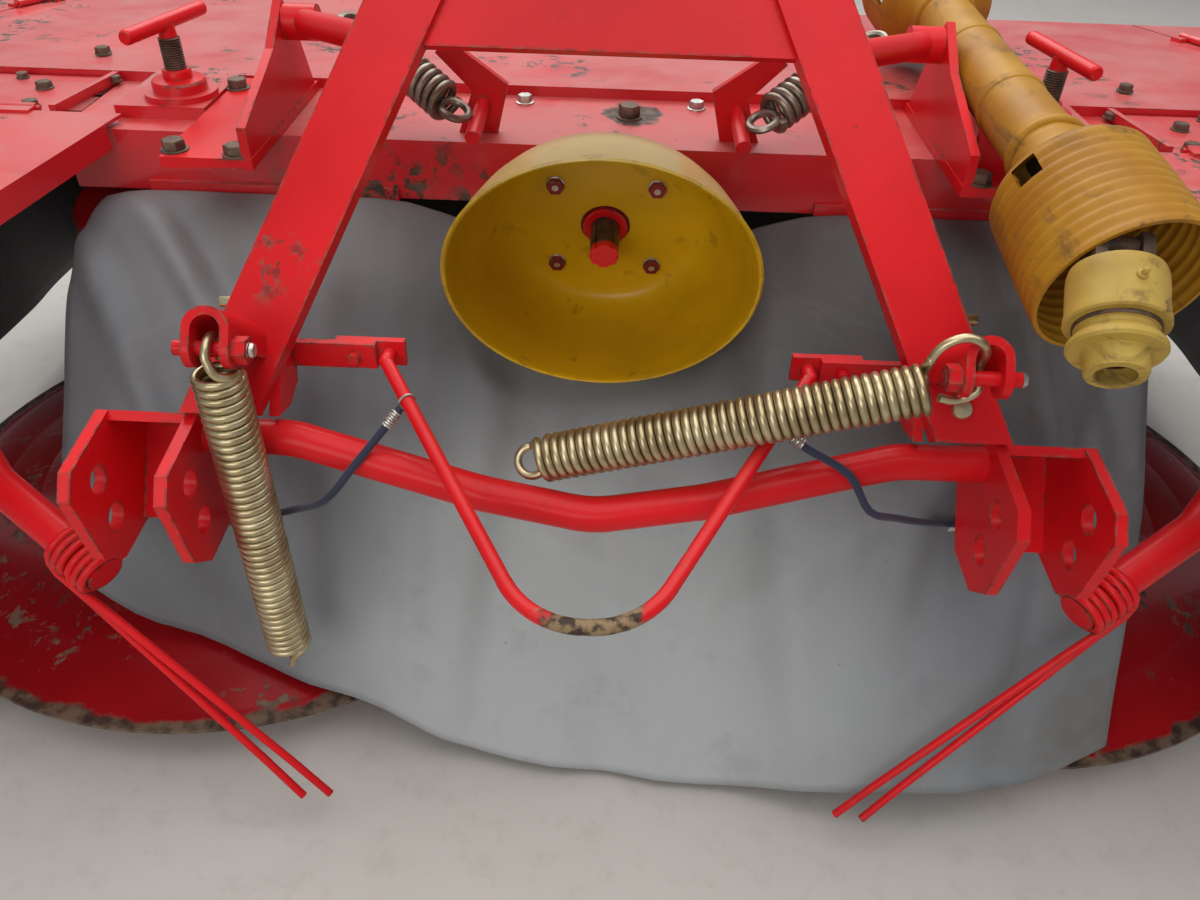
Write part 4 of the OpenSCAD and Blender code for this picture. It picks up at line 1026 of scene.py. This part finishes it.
def yokes():
    """The near yoke's collar with its grease nipple, fork and cross, and the rings on the guard tube."""
    k = Maker()
    near = frame_to(SHAFT_NEAR + Vector((3, 0, 0)), (-0.155, -0.84, -0.52))
    k.lathe(near, [(0, 30), (33, 30), (36.5, 32), (38, 37), (38.5, 46), (38.5, 72), (39.6, 75), (39.6, 80),
                   (38, 81.5), (33, 81.5), (32, 85), (30, 86), (29.5, 90), (32, 92), (37, 99),
                   (37.3, 102.5), (35.5, 105), (26, 106), (24.5, 108), (24.3, 120), (23, 124), (16, 124),
                   (16, 90), (0, 90)], 64)
    up = Vector((0, -0.526, 0.85))
    k.lathe(frame_to(near @ Vector((0, 0, 54)) + 38 * up.normalized(), up),
            [(4.5, 0), (4.5, 2), (2.6, 3), (2.6, 7), (1.6, 8.5), (0, 9)], 14)
    # fork and cross behind the collar, and the tube's end
    for angle in (0, 180):
        f = near @ turn(angle, "Z")
        k.prism(f @ at(24, -14, -6) @ turn(-90, "Y"),
                [(0, 3), (6, 0), (40, 0), (40, 28), (6, 28), (0, 25)], 10, index=1)
    k.lathe(near @ at(0, 0, 4) @ turn(90, "Y"), [(0, -26), (9, -26), (9, 26), (0, 26)], 20, index=1)
    k.lathe(SHAFT @ at(0, 0, 60), [(0, 0), (24, 0), (26, 4), (26, 60), (22, 64), (22, 110), (29, 112),
                                   (31, 114), (0, 114)], 40, index=1)
    # dark brown rings in the collar's groove and a dark brown disc across the bore
    k.lathe(near, [(32.9, 81.6), (33.1, 83), (32.6, 85.2)], 56, index=1)
    k.lathe(near, [(15.9, 110), (0, 110)], 40, index=1)
    k.done("shaft_forks", [YOKE, BROWN], replaces=["shaft_yokes"], slot="yellow_steel", smooth=40)
    # collars that hold the cones on the guard tube
    k = Maker()
    for m in (SHAFT, FAR):
        k.lathe(m @ at(0, 0, 170), [(35.5, 0), (38.6, 1), (39.6, 4), (39.6, 9), (38.4, 12), (35.5, 13)], 56)
    for z in (300, 470):
        k.lathe(SHAFT @ at(0, 0, z), [(35.2, -6), (36.6, -4), (36.8, 0), (36.6, 4), (35.2, 6)], 48)
    k.done("guard_collars", PLASTIC, slot="yellow_plastic", smooth=60)


yokes()


# T-handles: how far each is turned, in degrees, and the ends and pitch of its thread
HANDLE_LEFT, HANDLE_RIGHT = 76, -80
THREAD_LOW, THREAD_HIGH, THREAD_PITCH = 687, 735, 2.8


def spindles():
    """Threaded height spindles with their nuts and T-handles."""
    steel = Maker()
    k = Maker()
    for s, angle in ((-1, HANDLE_LEFT), (1, HANDLE_RIGHT)):
        c = PLACE @ at(s * HALF, 0, 0)
        profile = [(0, THREAD_LOW)]
        z = THREAD_LOW
        while z < THREAD_HIGH:
            profile += [(11.0, z), (12.6, z + 1.1), (12.6, z + 1.6), (11.0, z + 2.6)]
            z += THREAD_PITCH
        profile += [(10, THREAD_HIGH + 1), (0, THREAD_HIGH + 1)]
        steel.lathe(c, profile, 28)
        k.lathe(c, [(32, 687), (30, 689.5), (17, 691), (17, 699), (15.5, 701), (12.8, 701.4)], 40)
        k.lathe(c, [(9, 735.4), (10.5, 737), (9.6, 745), (9.0, 752), (0, 753)], 28)
        bar = c @ at(0, 0, 753.5) @ turn(angle, "Z") @ turn(90, "Y")
        k.lathe(bar, [(0, -74), (6.6, -74), (8.3, -71.5), (8.5, -68), (8.5, 68), (8.3, 71.5), (6.6, 74),
                      (0, 74)], 28)
    k.done("spindle_handles", RED, replaces=["height_spindles"], slot="red_paint")
    steel.done("spindle_threads", BROWN, replaces=["height_spindles"], slot="bare_steel")


spindles()


# bolts and small parts
def deck_bolts():
    """Bolt heads on the covers, the drum seats and the beam."""
    top, side = 655, 660
    dark, zinc = Maker(), Maker()
    for s in (-1, 1):
        for x, y, z in ((696, 165, 666), (714, 34, side), (696, -36, side)):
            dark.bolt(PLACE @ at(s * x, y, z), 17, 7, 11)
        for x in (640, 760, 900, 1020):
            dark.bolt(PLACE @ at(s * x, 70, side), 13, 5, 8)
        for x, y in ((-470, -170), (-470, 40), (-400, -178)):
            dark.bolt(PLACE @ at(s * x, y, 667), 22, 10, 15)
    for x, y, washer in ((-110, 62, 12), (110, 62, 12), (20, 40, 0)):
        zinc.bolt(PLACE @ at(x, y, top), 17, 8, washer)
    dark.bolt(PLACE @ at(24, 20, top), 24, 14, 16)
    dark.done("deck_bolts", BROWN, slot="bare_steel")
    zinc.done("beam_bolts", ZINC, slot="zinc_steel")


deck_bolts()


def shackle_bolts():
    """Thread ends beside the shackle bolts, and the pin heads at the legs' lower ends."""
    k = Maker()
    for s in (-1, 1):
        c = HEAD @ at(s * SHACKLE.x, SHACKLE.y, SHACKLE.z)
        k.lathe(c @ turn(90, "Y"), [(7.2, 33.2), (6.8, 34), (6.8, 36), (5.5, 38), (0, 38)], 20)
    k.done("shackle_threads", ZINC, slot="zinc_steel")
    k = Maker()
    k.lathe(HEAD @ at(348, 0.5, 52) @ turn(90, "X"),
            [(9.5, 0), (9.8, 1.5), (9.6, 5), (8.4, 6.4), (0, 7.2)], 32)
    for side, x, z in ((1, 350, 139), (-1, 354, 129)):
        k.lathe(HEAD @ at(side * x, 10, z) @ turn(90 * side, "Y"),
                [(5.6, -8), (5.6, 12), (4.6, 13.5), (0, 14)], 20)
    k.done("leg_pin_heads", GOLD, slot="zinc_steel")


shackle_bolts()


# floor and light
def stage():
    """A pale floor, an even sky and three soft lamps."""
    me = bpy.data.meshes.new("Floor")
    me.from_pydata([(-9, -9, 0), (9, -9, 0), (9, 9, 0), (-9, 9, 0)], [], [(0, 1, 2, 3)])
    m = Nodes("pale_floor")
    colour = m.mix(m.noise(1.6, 6, 0.6), (0.52, 0.49, 0.45), (0.64, 0.61, 0.57))
    colour = m.mix(m.times(m.ramp(m.noise(24.0, 8, 0.7), 0.5, 0.66), 0.25), colour, (0.40, 0.37, 0.33))
    m.set("Base Color", colour)
    m.set("Roughness", 0.7)
    me.materials.append(m.mat)
    added("Floor", me)
    world = bpy.data.worlds.new("World")
    bpy.context.scene.world = world
    world.use_nodes = True
    sky = world.node_tree.nodes["Background"].inputs
    sky["Color"].default_value = (0.92, 0.95, 1.0, 1)
    sky["Strength"].default_value = 0.34

    def area(name, place, aim, size, power, colour):
        d = bpy.data.lights.new(name, "AREA")
        d.shape = "RECTANGLE"
        d.size, d.size_y = size
        d.energy = power
        d.color = colour
        lamp = added(name, d)
        lamp.location = place
        lamp.rotation_mode = "QUATERNION"
        lamp.rotation_quaternion = (Vector(aim) - Vector(place)).to_track_quat("-Z", "Y")

    area("Key", (-0.6, 2.8, 3.4), (0, 0, 0.5), (3.8, 2.2), 115, (1.0, 0.99, 0.97))
    area("Top", (0.3, -0.6, 3.6), (0, -0.1, 0.4), (3.8, 3.4), 78, (1.0, 0.98, 0.96))
    area("Fill", (-1.2, -3.6, 1.9), (0, 0, 0.5), (2.6, 1.6), 40, (1.0, 0.98, 0.95))


stage()
bpy.context.scene.view_settings.view_transform = "Standard"
